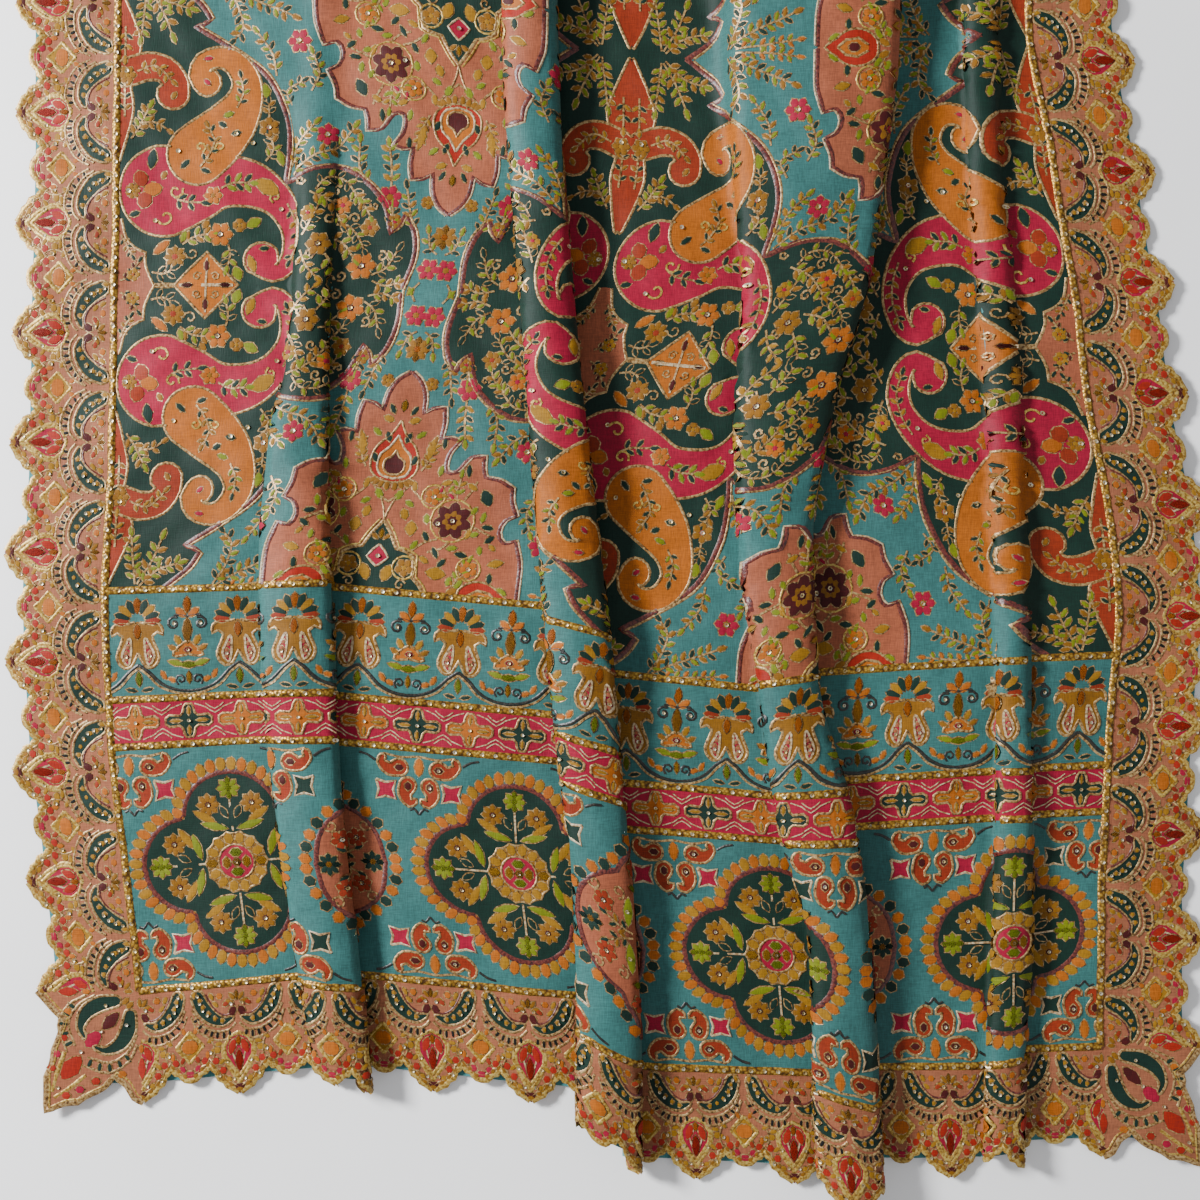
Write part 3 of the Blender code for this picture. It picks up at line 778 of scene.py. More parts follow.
for row in (
    (19, 12, 7, 5, "mustard", "orange"), (316, 280, 9, 5, "bronze", "mustard", 20),
    (276, 228, 19, 7, "maroon", "maroon", 12), (276, 228, 14, 7, "bronze", "raspberry", 12),
    (299, 205, 9, 5, "orange", "raspberry", 40), (252, 276, 9, 5, "orange", "raspberry", 10),
):
    b.flower(*row)
b.foliage("maroon", 0.8, "93,20,90,12,5 74,0,0,12,5 112,0,0,12,5")
b.foliage("mustard", 0.6, "333,287,70,17,11")
b.foliage("mustard", 0.8, "344,247,90,10,5")
b.foliage("bronze", 0.8, "338,250,40,8,4")

# Leaves and flowers on the teal and dark-green grounds, and inside the paisleys.
b.cord(curve("344,232 341,220 336,208"), "gold", 1.0)
b.foliage("maroon", 0.8, "236,305,0,11,7")
b.foliage("bronze", 0.6, "266,300,30,12,7")
b.foliage(
    "lime", 0.8,
    "260,292,60,12,6 216,296,150,12,6 256,216,60,9,6 252,240,20,9,6 334,206,60,12,8 322,214,150,10,6 "
    "302,228,100,10,7 244,256,100,9,6 270,290,70,10,7",
)
b.foliage(
    "mustard", 0.8,
    "316,239,95,15,12 284,283,175,20,13 226,268,15,16,8 309,157,80,24,8 344,116,90,11,6 331,130,20,11,7 "
    "325,225,110,12,9 232,252,140,8,5",
)
b.foliage(
    "dark green", 0.8,
    "297,150,92,12,5 268,176,95,13,5 333,120,60,11,5 246,202,120,18,12 240,232,175,12,6 288,262,120,13,5 "
    "262,262,170,13,6",
)
for x, y, reach in ((276, 228, 22), (316, 280, 12), (299, 205, 12), (252, 276, 12)):
    b.ring(round_shape(x, y, reach, points=14), "bright gold", 1.0)
for x, y, radius, angle, turns in (
    (230, 96, 6, 40, 1.1), (252, 70, 6, 200, -1.1), (206, 30, 6, 300, 1.1), (286, 34, 6, 120, -1.1),
    (222, 66, 6, 20, 1.1), (250, 10, 6, 250, 1.1), (190, 106, 5, 0, -1.1), (270, 84, 5, 160, 1.0),
):
    b.curl(x, y, radius, angle, turns, "gold", 0.9)
for line in (
    [(276, 250), (284, 258), (296, 262)], [(256, 232), (246, 236), (236, 240)],
    [(320, 200), (312, 208), (302, 212)], [(344, 214), (332, 204), (322, 190)],
    [(268, 206), (262, 196), (258, 186)], [(288, 248), (300, 252), (312, 262)],
):
    b.cord(curve(line), "gold", 0.9)
for row in (
    ("276,206 276,196 275,184", "lime, mustard", 8, 8),
    ("316,180 310,168 307,152", "bronze, mustard", 7, 7),
    ("312,62 305,84 300,104", "dark green, lime, bronze", 8, 9),
    ("290,62 288,84", "lime, dark green", 8, 9),
    ("284,104 282,124 278,144", "lime, mustard, dark green", 9, 10),
    ("262,104 250,122 248,146", "lime, dark green", 9, 10),
    ("178,112 200,130 226,140 240,160", "lime, bronze, dark green", 9, 10),
    ("176,120 186,146 200,162", "lime, mustard", 8, 9),
    ("178,180 170,196 186,206", "dark green, lime", 7, 9),
    ("160,212 156,234 142,254", "lime, bronze, dark green", 8, 10),
    ("108,302 120,284 126,262 118,250", "dark green, lime, bronze", 9, 9),
    ("112,302 134,290 158,280 176,272", "bronze, dark green, lime", 9, 9),
    ("120,304 150,302 180,298", "orange, lime", 7, 9),
    ("196,196 204,214 198,232", "lime, dark green", 8, 9),
    ("30,300 27,276 24,252", "lime, bronze, lime", 9, 9),
    ("32,300 46,276 54,256", "lime, bronze, lime", 10, 10), ("34,302 52,286 72,280", "lime, bronze", 9, 9),
    ("15,148 24,162 32,178", "lime, bronze, lime", 9, 8), ("26,164 40,164 50,158", "bronze, bronze", 7, 9),
    ("150,126 158,138 154,150", "dark green, lime, bronze", 8, 8),
    ("153,170 152,184", "dark green, bronze", 7, 7), ("38,14 50,12 58,16", "dark green, dark green", 9, 9),
    ("68,42 80,50 94,52", "lime, bronze", 9, 9), ("114,42 116,30 114,20", "lime, dark green", 9, 9),
    ("196,50 202,62 210,80", "lime, dark green, bronze", 9, 9),
    ("200,94 222,84 238,66", "bronze, lime, bronze", 9, 9),
    ("222,30 232,14 236,4", "lime, lime, dark green", 10, 9),
    ("226,48 244,44 258,30", "lime, bronze", 10, 10), ("280,14 292,22 300,40", "dark green, lime", 9, 9),
    ("282,8 296,4 308,8", "bronze, lime", 8, 9), ("246,96 258,86 266,74", "lime, bronze", 8, 8),
    ("340,40 332,46 328,60", "lime, dark green", 8, 9), ("330,10 326,4", "lime", 8, 9),
    ("56,92 66,86 86,84", "dark green", 9, 11), ("106,98 118,104 134,104", "lime, dark green", 10, 9),
    ("172,84 180,66 182,44 176,26", "dark green, mustard", 7, 12),
    ("84,120 92,130 98,146 92,160", "bronze, dark green", 7, 11),
    ("120,180 126,194 124,210", "dark green, lime", 7, 9),
    ("20,216 38,222 54,208", "bronze, mustard", 7, 9), ("8,170 8,190 8,206", "bronze, dark green", 7, 11),
    ("8,262 8,246 8,232", "mustard, dark green", 8, 11),
    ("206,96 216,108 236,108 252,92", "lime, dark green", 8, 11),
    ("196,34 204,18 216,6", "mustard, lime", 8, 10),
    ("232,62 246,62 258,52 266,40", "dark green, lime", 8, 10),
):
    b.sprig(*row)
for row in (
    (344, 58, 12, 8, "bronze", "orange"), (284, 94, 12, 6, "raspberry", "bronze", 15),
    (322, 92, 7, 5, "bronze", "mustard"), (214, 152, 11, 6, "raspberry", "bronze", 30),
    (184, 246, 12, 6, "raspberry", "bronze", 0), (153, 160, 10, 6, "bronze", "raspberry", 30),
    (61, 29, 11, 8, "bronze", "rust"), (106, 52, 12, 6, "orange", "maroon"),
    (125, 61, 7, 4, "bronze", "mustard"), (214, 40, 12, 6, "bronze", "maroon"),
    (268, 22, 14, 6, "orange", "maroon", 10), (268, 62, 9, 6, "bronze", "rust"),
    (335, 24, 11, 6, "raspberry", "bronze"), (17, 96, 8, 7, "bronze", "mustard"),
    (98, 91, 9, 6, "orange", "bronze"), (10, 212, 9, 6, "bronze", "mustard"),
    (238, 82, 9, 6, "orange", "raspberry", 20), (292, 70, 8, 5, "bronze", "raspberry"),
    (200, 72, 8, 5, "mustard", "raspberry", 30),
):
    b.flower(*row)
b.foliage(
    "lime", 0.8,
    "149,197,100,15,9 165,129,110,16,8 124,12,110,15,10 139,64,30,16,10 69,50,70,12,7 112,173,20,11,6 "
    "296,178,80,11,6 310,256,60,11,6 272,256,10,11,6 246,222,80,11,6 322,144,40,11,6",
)
b.foliage("orange", 0.6, "47,39,40,20,8")
b.foliage("bronze", 0.8, "91,62,60,9,7 48,112,60,8,6 57,192,60,8,5")
b.foliage("rust", 0.5, "29,87,70,17,15 25,108,110,16,14")
b.foliage("orange", 0.5, "37,98,10,18,14")
b.foliage("mustard", 0.6, "152,100,150,26,15")
b.foliage(
    "mustard", 0.8,
    "138,22,110,18,8 320,196,100,11,6 288,190,20,11,6 262,192,150,11,6 258,240,70,11,6 298,270,150,11,6",
)
b.foliage(
    "dark green", 0.8,
    "150,38,10,9,5 19,73,20,11,6 36,128,80,20,10 69,123,45,12,6 90,116,160,10,5 120,154,10,10,6 "
    "106,163,150,9,6 324,170,60,11,6 300,246,120,11,6 280,272,50,11,6 236,244,40,11,6 230,284,90,11,6 "
    "334,148,70,11,6",
)
b.foliage("raspberry", 0.8, "90,206,140,8,5 91,230,10,9,5")
for row in (
    (78, 33, 7, 180, 1.0), (50, 70, 9, 200, 0.9, "bright gold", 0.9),
    (60, 96, 8, 20, -1.0, "bright gold", 0.9), (160, 90, 6, 250, -1.1, "bright gold", 0.9),
    (84, 140, 6, 300, 1.0, "bright gold", 0.9), (104, 140, 6, 240, -1.0, "bright gold", 0.9),
):
    b.curl(*row)
b.sequins += [
    (62, 136), (120, 153), (40, 66), (13, 96), (166, 78), (10, 216), (137, 144), (290, 232), (344, 270),
    (276, 228), (184, 246), (214, 152), (106, 52), (268, 22), (214, 40), (153, 160), (252, 276), (299, 205),
]


def field_places(sign):
    """Every quarter repeat of one half of the field."""
    places = []
    wide = INNER_WIDTH / QUARTERS_ACROSS
    tall = FIELD_HALF / QUARTERS_DOWN
    for column in range(QUARTERS_ACROSS):
        for row in range(QUARTERS_DOWN):
            right = column % 2
            up = row % 2
            origin = ((column + right) * wide, sign * ((row + 1 - up) * tall - FIELD_HALF))
            across = np.array([(-1 if right else 1) * wide / QUARTER[0], 0])
            down = np.array([0, sign * (1 if up else -1) * tall / QUARTER[1]])
            places.append((origin, across, down))
    return places


# How far the print stands to the left, in squares, for each distance from the middle: between the second
# and third folds, on top of the third, and between the third and fourth.
SQUARE = 0.00062
PRINT_SHIFT = (
    (-0.95, 40, 38, 39), (-0.87, 56, 30, 38), (-0.79, 64, 36, 36), (-0.71, 57, 34, 25), (-0.63, 45, 46, 20),
    (-0.55, 44, 46, 20), (0.0, 44, 46, 20),
)
LEAST_STRETCH = 0.6


def shifted(u, v):
    """Where the print's own distance across lies on the cloth, whose folds took up more than the model's."""
    at, after_second, on_third, after_third = np.array(PRINT_SHIFT).T
    shifts = (after_second, on_third, after_third)
    second, third, last = (np.interp(-np.abs(v), at, row) * SQUARE for row in shifts)
    none = np.zeros_like(v)
    lines = fold_lines(v)
    knots = [none, lines[1][3] + 0.25 * lines[1][1][3], lines[1][3] + lines[1][1][3]]
    moved = [none, none, second]
    for (rise, fall, rise_at, fall_at), steps in (
        (lines[2], [second, third, third, last]), (lines[3], [last, last * 0.8, last * 0.4, none]),
    ):
        knots += [rise_at, rise_at + rise[3], fall_at, fall_at + fall[3]]
        moved += steps
    knots.append(none + INNER_WIDTH)
    moved.append(none)
    drawn = [knots[0]]
    for k in range(1, len(knots)):
        least = drawn[-1] + LEAST_STRETCH * (knots[k] - knots[k - 1])
        drawn.append(np.maximum(knots[k] + moved[k], least))
    laid = none
    for k in range(len(knots) - 1):
        t = np.clip((u - drawn[k]) / np.maximum(drawn[k + 1] - drawn[k], 1e-6), 0, 1)
        laid = laid + t * (knots[k + 1] - knots[k])
    return laid


def field_object(name, mesh, materials):
    """A piece of the field, laid with the print's shift."""
    flat, lifts, faces, dyes = mesh
    flat = np.stack([shifted(flat[:, 0], flat[:, 1]), flat[:, 1]], axis=1)
    return cloth_object(name, (flat, lifts, faces, dyes), materials)


ENDS = (("near", -1), ("far", 1))
field_print = cut_print(field_board)
for name, sign in ENDS:
    piece = field_object("field_print_" + name, spread([field_print], field_places(-sign), True), silks)
    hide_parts("field")

# The embroidery on the field: twisted gold and coloured threads couched round every shape, small leaves and
# petals worked in silk with a gold edge, and gold sequins, all sewn down on the print.
THREAD_LIFT = 0.0009
THREAD_HEIGHT = 0.0008
THREAD_SWELL = 1.25
THREAD_DEPTH = 0.45
THREAD_ROUGHNESS = 0.42
GOLD_METAL = 0.35
SEQUIN_METAL = 0.7
# The sequins' gold: painted shade, its own colour, and a near-white painted highlight.
SEQUIN_COLOURS = ((150, 110, 50), (236, 200, 120), (255, 248, 226))
PLATE_LIFT = 0.0011
PLATE_SIDE = 1.25
PLATE_TIP = 1.5
LEAF_LIFT = 0.0014
LEAF_POINTS = (5, 6, 8)
LEAF_LENGTHS = (6.5, 13)
LEAF_HEIGHT = 0.0017
SEQUIN_LIFT = 0.0020
SEQUIN_DISH = 0.0004
SEQUIN_HOLE = 0.3
SEQUIN_SIZE = 2.4
SMALL_SEQUIN = 1.9


def thread_material(name, colours, metallic):
    """Thread wound with fine wire, with painted shade between the turns and a painted highlight on them."""
    made, tree, shader = new_material(name, Roughness=THREAD_ROUGHNESS, Metallic=metallic)
    turns = noise(tree, 620.0, 2.0)
    # Three colours along the turns: painted shade, the thread's own colour, and painted highlight.
    dark, plain, bright = ([c * THREAD_DEPTH for c in from_screen(colour)] for colour in colours)
    plug(tree, shader, Base_Color=ramp(tree, ((0.30, dark), (0.43, plain), (0.62, bright)), turns))
    relief(tree, shader, 0.6, 0.0005, turns)
    return made


threads = [
    thread_material(name, colours, GOLD_METAL if "gold" in name else 0.0)
    for name, colours in THREADS.items()
]
sequin_gold = thread_material("sequin gold", SEQUIN_COLOURS, SEQUIN_METAL)
stitched = threads + [sequin_gold] + silks


def lay_threads(board):
    """Every thread along its line, up to a shape printed over it: a low ridge, or a flat ribbon if thin."""
    laid = []
    for line, thread, width, under in board.lines:
        slope = np.gradient(line, axis=0)
        slope /= np.maximum(np.hypot(slope[:, 0], slope[:, 1]), 1e-6)[:, None]
        aside = np.stack([-slope[:, 1], slope[:, 0]], axis=1) * width * THREAD_SWELL
        middle = (line[1:] + line[:-1]) / 2
        shown = board.within(middle)
        for dye, outline in board.fills[under:]:
            shown &= ~holds(outline, middle)
        if width < 1:
            columns = [line - aside, line + aside]
            heights = [THREAD_LIFT + THREAD_HEIGHT * 0.5] * 2
        else:
            columns = [line - aside, line, line + aside]
            heights = [THREAD_LIFT, THREAD_LIFT + THREAD_HEIGHT, THREAD_LIFT]
        wide = len(columns)
        start = np.arange(len(line) - 1)[shown] * wide
        faces = []
        for a in [start + side for side in range(wide - 1)]:
            faces.append(np.stack([a, a + wide, a + wide + 1], axis=1))
            faces.append(np.stack([a, a + wide + 1, a + 1], axis=1))
        flat = np.stack(columns, axis=1).reshape(-1, 2)
        faces = np.concatenate(faces)
        laid.append((flat, np.tile(heights, len(line)), faces, np.full(len(faces), thread)))
    return joined(laid)


def leaf_grid(count):
    """The rim of a leaf with this many points, and its triangles: a raised fan over a flat gold plate."""
    turn = np.arange(count) * 2 * math.pi / count
    share = (1 - np.cos(turn)) / 2
    side = np.sign(np.round(np.sin(turn), 6))
    rim = np.arange(count)
    fan = np.stack([np.full(count, 2 * count), rim, (rim + 1) % count], axis=1)
    k = np.arange(1, count - 1) + count
    plate = np.stack([np.full(count - 2, count), k, k + 1], axis=1)
    heights = np.concatenate([np.full(count, LEAF_LIFT), np.full(count, PLATE_LIFT), [LEAF_HEIGHT]])
    return share, side, np.concatenate([fan, plate])[:, ::-1], heights


def lay_leaves(board):
    """Every stitched leaf: a raised fan of silk on a gold plate that shows as its edge."""
    grids = {count: leaf_grid(count) for count in LEAF_POINTS}
    laid = []
    for x, y, angle, length, width, dye, blunt in board.leaves:
        if not board.within(np.array([[x, y]]))[0]:
            continue
        count = LEAF_POINTS[int(np.searchsorted(LEAF_LENGTHS, length, side="right"))]
        share, side, faces, heights = grids[count]
        bulge = side * np.sin(math.pi * share).clip(0) ** blunt * width / 2
        inner = np.stack([(share - 0.5) * length, bulge], axis=1)
        tips = np.where(side == 0, np.sign(share - 0.5) * PLATE_TIP, 0)
        local = np.concatenate([inner, inner + np.stack([tips, side * PLATE_SIDE], axis=1), [(0, 0)]])
        turn = np.array([[math.cos(angle), math.sin(angle)], [-math.sin(angle), math.cos(angle)]])
        colours = np.array([len(threads) + 1 + dye] * count + [0] * (count - 2))
        laid.append((local @ turn + (x, y), heights, faces, colours))
    return joined(laid)


def lay_sequins(places, size=SMALL_SEQUIN):
    """Small six-sided cups, each with its dark sewing hole left out."""
    k = np.arange(6)
    rim = np.stack([np.cos(k * math.pi / 3), np.sin(k * math.pi / 3)], axis=1)
    after = (k + 1) % 6
    outer, inner = np.stack([k, after, after + 6], axis=1), np.stack([k, after + 6, k + 6], axis=1)
    faces = np.concatenate([outer, inner])
    local = np.concatenate([rim * size, rim * size * SEQUIN_HOLE])
    flat = (np.array(places, float)[:, None] + local).reshape(-1, 2)
    lifts = np.tile([SEQUIN_LIFT] * 6 + [SEQUIN_LIFT - SEQUIN_DISH] * 6, len(places))
    tris = (faces + 12 * np.arange(len(places))[:, None, None]).reshape(-1, 3)
    return flat, lifts, tris, np.full(len(tris), len(threads))


field_threads = [lay_threads(field_board), lay_sequins(field_board.sequins, SEQUIN_SIZE)]
field_leaves = [lay_leaves(field_board)]
for name, sign in ENDS:
    for kind, worked in (("threads", field_threads), ("leaves", field_leaves)):
        piece = field_object("field_%s_%s" % (kind, name), spread(worked, field_places(-sign)), stitched)

# The end panels: a band of tulips, a raspberry band of crosses and a band of medallions, printed on teal
# silk and worked like the field. Each is sewn to the end of the field under a gold band.
TULIP_BOARD = (50.46, 109)
TULIPS = 28
FIRST_TULIP = -18.46
CROSS_STEP = 52.92
CROSSES = 13
CROSS_BAND = (109, 159)
MEDALLION_BOARD = (192, 122)
MEDALLION_REACH = 67
LOBE_REACH = 26
LOBE_POWER = 0.8
MEDALLIONS = 4
FIRST_MEDALLION = -80
END_WIDTH = QUARTERS_ACROSS * QUARTER[0]

tulip_board = Board(*TULIP_BOARD)
b = tulip_board
b.fill("teal", "-9,-9 60,-9 60,118 -9,118")
b.shape(
    "bronze",
    arcs("-3,31 8,34 18,33 25,38 26,46", "26,46 20,43 15,47 17,55 21,65 20,73 14,79 7,77 3,70 0,64 -3,64"),
    "gold", 1.4,
)
b.shape("raspberry", brush("8,50,1.2 10,59,3.4 12,67,4.4 11,74,2", 5), "cream", 0.9)
petals = ((-90, "orange"), (-66, "dark green"), (-42, "mustard"), (-20, "dark green"), (-2, "rust"))
for angle, dye in petals:
    b.leaf(*polar(0, 32, 16, angle), angle, 15, 8, dye, 0.6)
for x, y in ((10, 58), (12, 64), (12, 70)):
    b.leaf(x, y, 80, 4.5, 4, "pink", 0.5)
b.cord(curve("0,76 10,83 22,95 36,102 50.5,104"), "black", 1.5)
b.cord(curve("0,79 9,86 20,98 36,105 50.5,107"), "gold", 0.9)
b.curl(37, 35, 7, 300, -1.2, "black", 1.3)
b.cord(curve("50.5,28 44,26 37,27"), "black", 1.3)
b.shape("orange", brush("38,66,3 44,63,5 51,60,7 60,60,7", 5), "gold", 1.2)
b.curl(42, 92, 6, 120, 1.2, "black", 1.2)
b.sequins += [(12, 67), (37, 35), (50.4, 62)]
b.foliage("orange", 0.6, "0,42,90,15,7 50.46,16,90,16,7 44,24,40,13,7")
b.foliage("lime", 0.8, "0,90,90,15,6 38,75,15,17,6 50.46,77,0,18,7")
b.foliage("dark green", 0.8, "8,101,-12,11,4")
b.foliage("orange", 0.8, "25,87,60,10,5 33,92,20,9,5")
b.foliage("bronze", 0.8, "50.46,42,90,26,9 36,60,30,11,5")
b.foliage("mustard", 0.8, "41,52,60,11,6 50.46,90,90,12,5")
b.foliage("raspberry", 0.6, "50.46,62,0,8,6")

cross_board = Board(CROSS_STEP * 2, CROSS_BAND[1] - CROSS_BAND[0])
b = cross_board
middle = b.size[1] / 2
b.fill("raspberry", "-9,-9 120,-9 120,60 -9,60")
cross = drafted(
    "23,3 19,6 9,5 6,8 5,13 3,17 -3,17 -5,13 -6,8 -9,5 -19,6 -23,3 "
    "-23,-3 -19,-6 -9,-5 -6,-8 -5,-13 -3,-17 3,-17 5,-13 6,-8 9,-5 19,-6 23,-3"
)
for at, dye in ((CROSS_STEP / 2, "orange"), (CROSS_STEP * 1.5, "dark green")):
    b.shape(dye, cross + (at, middle), "gold", 1.2)
    b.leaf(at - 13, middle, 0, 12, 3, "mustard")
    b.leaf(at + 13, middle, 0, 12, 3, "mustard")
    b.leaf(at, middle - 10, 90, 9, 3, "mustard")
    b.leaf(at, middle + 10, 90, 9, 3, "mustard")
    b.sequins.append((at, middle))
for at in (0, CROSS_STEP, CROSS_STEP * 2):
    for side in (-1, 1):
        wave = [(at + x, middle + side * y) for x, y in ((-20, 17), (-9, 13), (0, 7), (9, 13), (20, 17))]
        b.cord(curve(wave), "cream", 0.5)
        b.cord(curve([(x, y + side * 4) for x, y in wave[1:4]]), "cream", 0.5)

medallion_board = Board(*MEDALLION_BOARD)
b = medallion_board
b.fill("teal", "-9,-9 201,-9 201,131 -9,131")
angle = np.linspace(math.pi, 1.5 * math.pi, 22)
reach = MEDALLION_REACH + LOBE_REACH * np.abs(np.cos(2 * angle)) ** LOBE_POWER
quatrefoil = np.stack([192 + reach * np.cos(angle), 122 + reach * np.sin(angle)], axis=1)
b.fill("dark green", np.concatenate([quatrefoil, [(201, 29), (201, 131), (99, 131)]]))
b.cord(quatrefoil, "maroon", 2.4)
for k in range(1, 16):
    turn = math.pi + (k - 0.5) * math.pi / 30
    out = MEDALLION_REACH + LOBE_REACH * abs(math.cos(2 * turn)) ** LOBE_POWER + 8
    b.leaf(
        192 + out * math.cos(turn), 122 + out * math.sin(turn), math.degrees(turn), 14, 9.5,
        ("orange", "mustard")[k % 2], 0.5,
    )
b.shape("bronze", round_shape(192, 122, 30, 14, 0.05, 42), "gold", 1.2)
for k in range(14):
    turn = k * 360 / 14
    b.leaf(*polar(*MEDALLION_BOARD, 25, turn), turn, 12, 9.5, "mustard", 0.5)
b.shape("raspberry", round_shape(192, 122, 18, points=20), "gold", 1.0)
for up in (True, False):
    for bend, along_lobe, out, length, width, dye in (
        (18, 38, 15, 27, 8, "lime"), (27, 48, 32, 24, 8, "mustard"), (7, 52, 62, 13, 6, "dark green"),
    ):
        x, y = (-bend, -along_lobe) if up else (-along_lobe, -bend)
        turn = 180 + out if up else 270 - out
        b.leaf(192 + x, 122 + y, turn, length, width, dye)
    x, y = (-22, -60) if up else (-60, -22)
    b.flower(192 + x, 122 + y, 11, 8, "bronze", "maroon")
    x, y = (0, -76) if up else (-76, 0)
    b.flower(192 + x, 122 + y, 11, 8, "lime", "lime")
    x, y = (0, -64) if up else (-64, 0)
    b.cord([(192 + x * 0.5, 122 + y * 0.5), (192 + x, 122 + y)], "cream", 0.8)
pomegranate = arcs("0,24 4,40 13,54 17,64", "17,64 36,74 52,94 58,124")
b.fill("pink", np.concatenate([pomegranate, [(58, 131), (-9, 131), (-9, 24)]]))
b.cord(pomegranate, "maroon", 2.2)
rim = "8,32,-30 15,44,-25 22,54,-25 30,63,-50 42,70,-50 53,81,-35 61,93,-25 66,105,-15 68,117,-5"
for k, (x, y, turn) in enumerate(drafted(rim)):
    b.leaf(x, y, turn, 12, 11, ("orange", "dark green")[k % 2], 0.5)
b.sprig("4,120 16,116 28,110", "dark green, bronze", 8, 9)
b.curl(16, 84, 7, 90, 1.1, "gold", 0.8)
b.curl(40, 84, 7, 0, 1.1, "gold", 0.8)
for side in (-1, 1):
    for spine in (
        ((20, 20, 9), (30, 22, 6.5), (38, 15, 4), (36, 9, 3)),
        ((11, 38, 8.5), (14, 48, 6.5), (9, 57, 4), (4, 54, 3)),
    ):
        b.shape("rust", brush([(96 + side * x, y, w) for x, y, w in spine], 4), "gold", 1.2)
    b.leaf(96 + side * 20, 20, 0, 9, 7, "maroon", 0.6)
    b.leaf(96 + side * 11, 39, 90, 9, 7, "maroon", 0.6)
    b.cord(curve([(96, 68), (96 + side * 5, 62), (96 + side * 9, 64)]), "black", 1.2)
    b.cord(curve([(96 + side * 44, 14), (96 + side * 52, 9), (96 + side * 60, 7)]), "black", 1.2)
b.cord(curve("60,6 78,9 96,7 114,9 132,6"), "gold", 0.9)
for row in (
    (31, 98, 10, 6, "rust", "maroon", 15), (45, 122, 11, 8, "dark green", "bronze"),
    (0, 57, 9, 6, "rust", "maroon"),
):
    b.flower(*row)
b.foliage("lime", 0.5, "192,112,0,12,9")
b.foliage("mustard", 0.5, "182,122,90,12,8")
b.foliage("bronze", 0.5, "192,122,0,8,8")
b.foliage("lime", 0.8, "7,100,88,28,8 0,76,0,12,8")
b.foliage("orange", 0.6, "96,18,90,19,9")


def concave_square(x, y, half):
    """A square with hollow sides."""
    corners = [(-half, -half), (half, -half), (half, half), (-half, half)]
    outline = []
    for (ax, ay), (bx, by) in zip(corners, corners[1:] + corners[:1]):
        outline.append((x + ax, y + ay))
        outline.append((x + (ax + bx) * 0.36, y + (ay + by) * 0.36))
    return np.array(outline, float)


ornament_boards = []
for dye in ("raspberry", "dark green"):
    made = Board(*MEDALLION_BOARD)
    made.fills = list(medallion_board.fills)
    made.lines = list(medallion_board.lines)
    made.leaves = list(medallion_board.leaves)
    for side in (-1, 1):
        made.shape(dye, concave_square(96 + side * 33, 44, 10), "cream", 1.2)
    made.sequins = [(192, 122), (132, 100), (170, 62), (31, 98), (8, 100), (116, 20), (107, 39)]
    ornament_boards.append(made)


def end_places(sign, width, count, first, top, flips=False):
    """Boards side by side across an end panel, or with every other one mirrored from the first."""
    square = INNER_WIDTH / END_WIDTH
    places = []
    for k in range(count):
        mirrored = flips and k % 2 == 0
        origin = (square * (first + (k + mirrored) * width), sign * (FIELD_HALF + top * SQUARE))
        across = np.array([-square if mirrored else square, 0])
        places.append((origin, across, np.array([0, sign * SQUARE])))
    return places


def trimmed(mesh):
    """Leaves out the parts past the side gold lines."""
    flat, lifts, faces, dyes = mesh
    middle = flat[faces].mean(axis=1)[:, 0]
    kept = (middle > 0) & (middle < INNER_WIDTH)
    return flat, lifts, faces[kept], dyes[kept]


def welded(mesh):
    """A mesh with the points that meet made one."""
    return spread([mesh], [((0, 0), np.array([1, 0]), np.array([0, 1]))], True)


def stitched_on(board):
    """All the needlework of a board."""
    return [lay_threads(board), lay_leaves(board), lay_sequins(board.sequins)]


tulip_print = cut_print(tulip_board)
cross_print = cut_print(cross_board)
medallion_prints = [cut_print(made) for made in ornament_boards]
tulip_stitches = stitched_on(tulip_board)
cross_stitches = stitched_on(cross_board)
medallion_stitches = [stitched_on(made) for made in ornament_boards]
for name, sign in ENDS:
    tulips = end_places(sign, TULIP_BOARD[0], TULIPS, FIRST_TULIP, 0, True)
    crosses = end_places(sign, CROSS_STEP * 2, CROSSES, 0, CROSS_BAND[0])
    shown, worked = [], []
    for which, start in [(which, start) for which in (0, 1) for start in range(MEDALLIONS)]:
        first = FIRST_MEDALLION + (2 * start + which) * MEDALLION_BOARD[0]
        [(origin, across, down)] = end_places(sign, MEDALLION_BOARD[0], 1, first, CROSS_BAND[1])
        if which == 1:
            origin, across = (origin[0] + across[0] * MEDALLION_BOARD[0], origin[1]), -across
        below = (origin[0], origin[1] + 2 * MEDALLION_BOARD[1] * down[1])
        halves = [(origin, across, down), (below, across, -down)]
        shown.append(spread([medallion_prints[which]], halves))
        worked.append(spread(medallion_stitches[which], halves))
    shown += [spread([tulip_print], tulips), spread([cross_print], crosses)]
    piece = cloth_object("end_print_" + name, welded(trimmed(joined(shown))), silks)
    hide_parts("end_panel_" + name)
    worked += [spread(tulip_stitches, tulips), spread(cross_stitches, crosses)]
    piece = cloth_object("end_stitches_" + name, trimmed(joined(worked)), stitched)

# The border: salmon-pink silk strips cut in big and small scallops, with pairs of dark-green paisleys, a
# leaf heart on each big scallop and a diamond on each small one, and a corded edge. Four strips, mitred.
BORDER_BOARD = (54, 113)
CORNER_BOARD = (122, 122)
BORDER_STEP = 12
HEM_REPEATS = 14
SIDE_REPEATS = 35

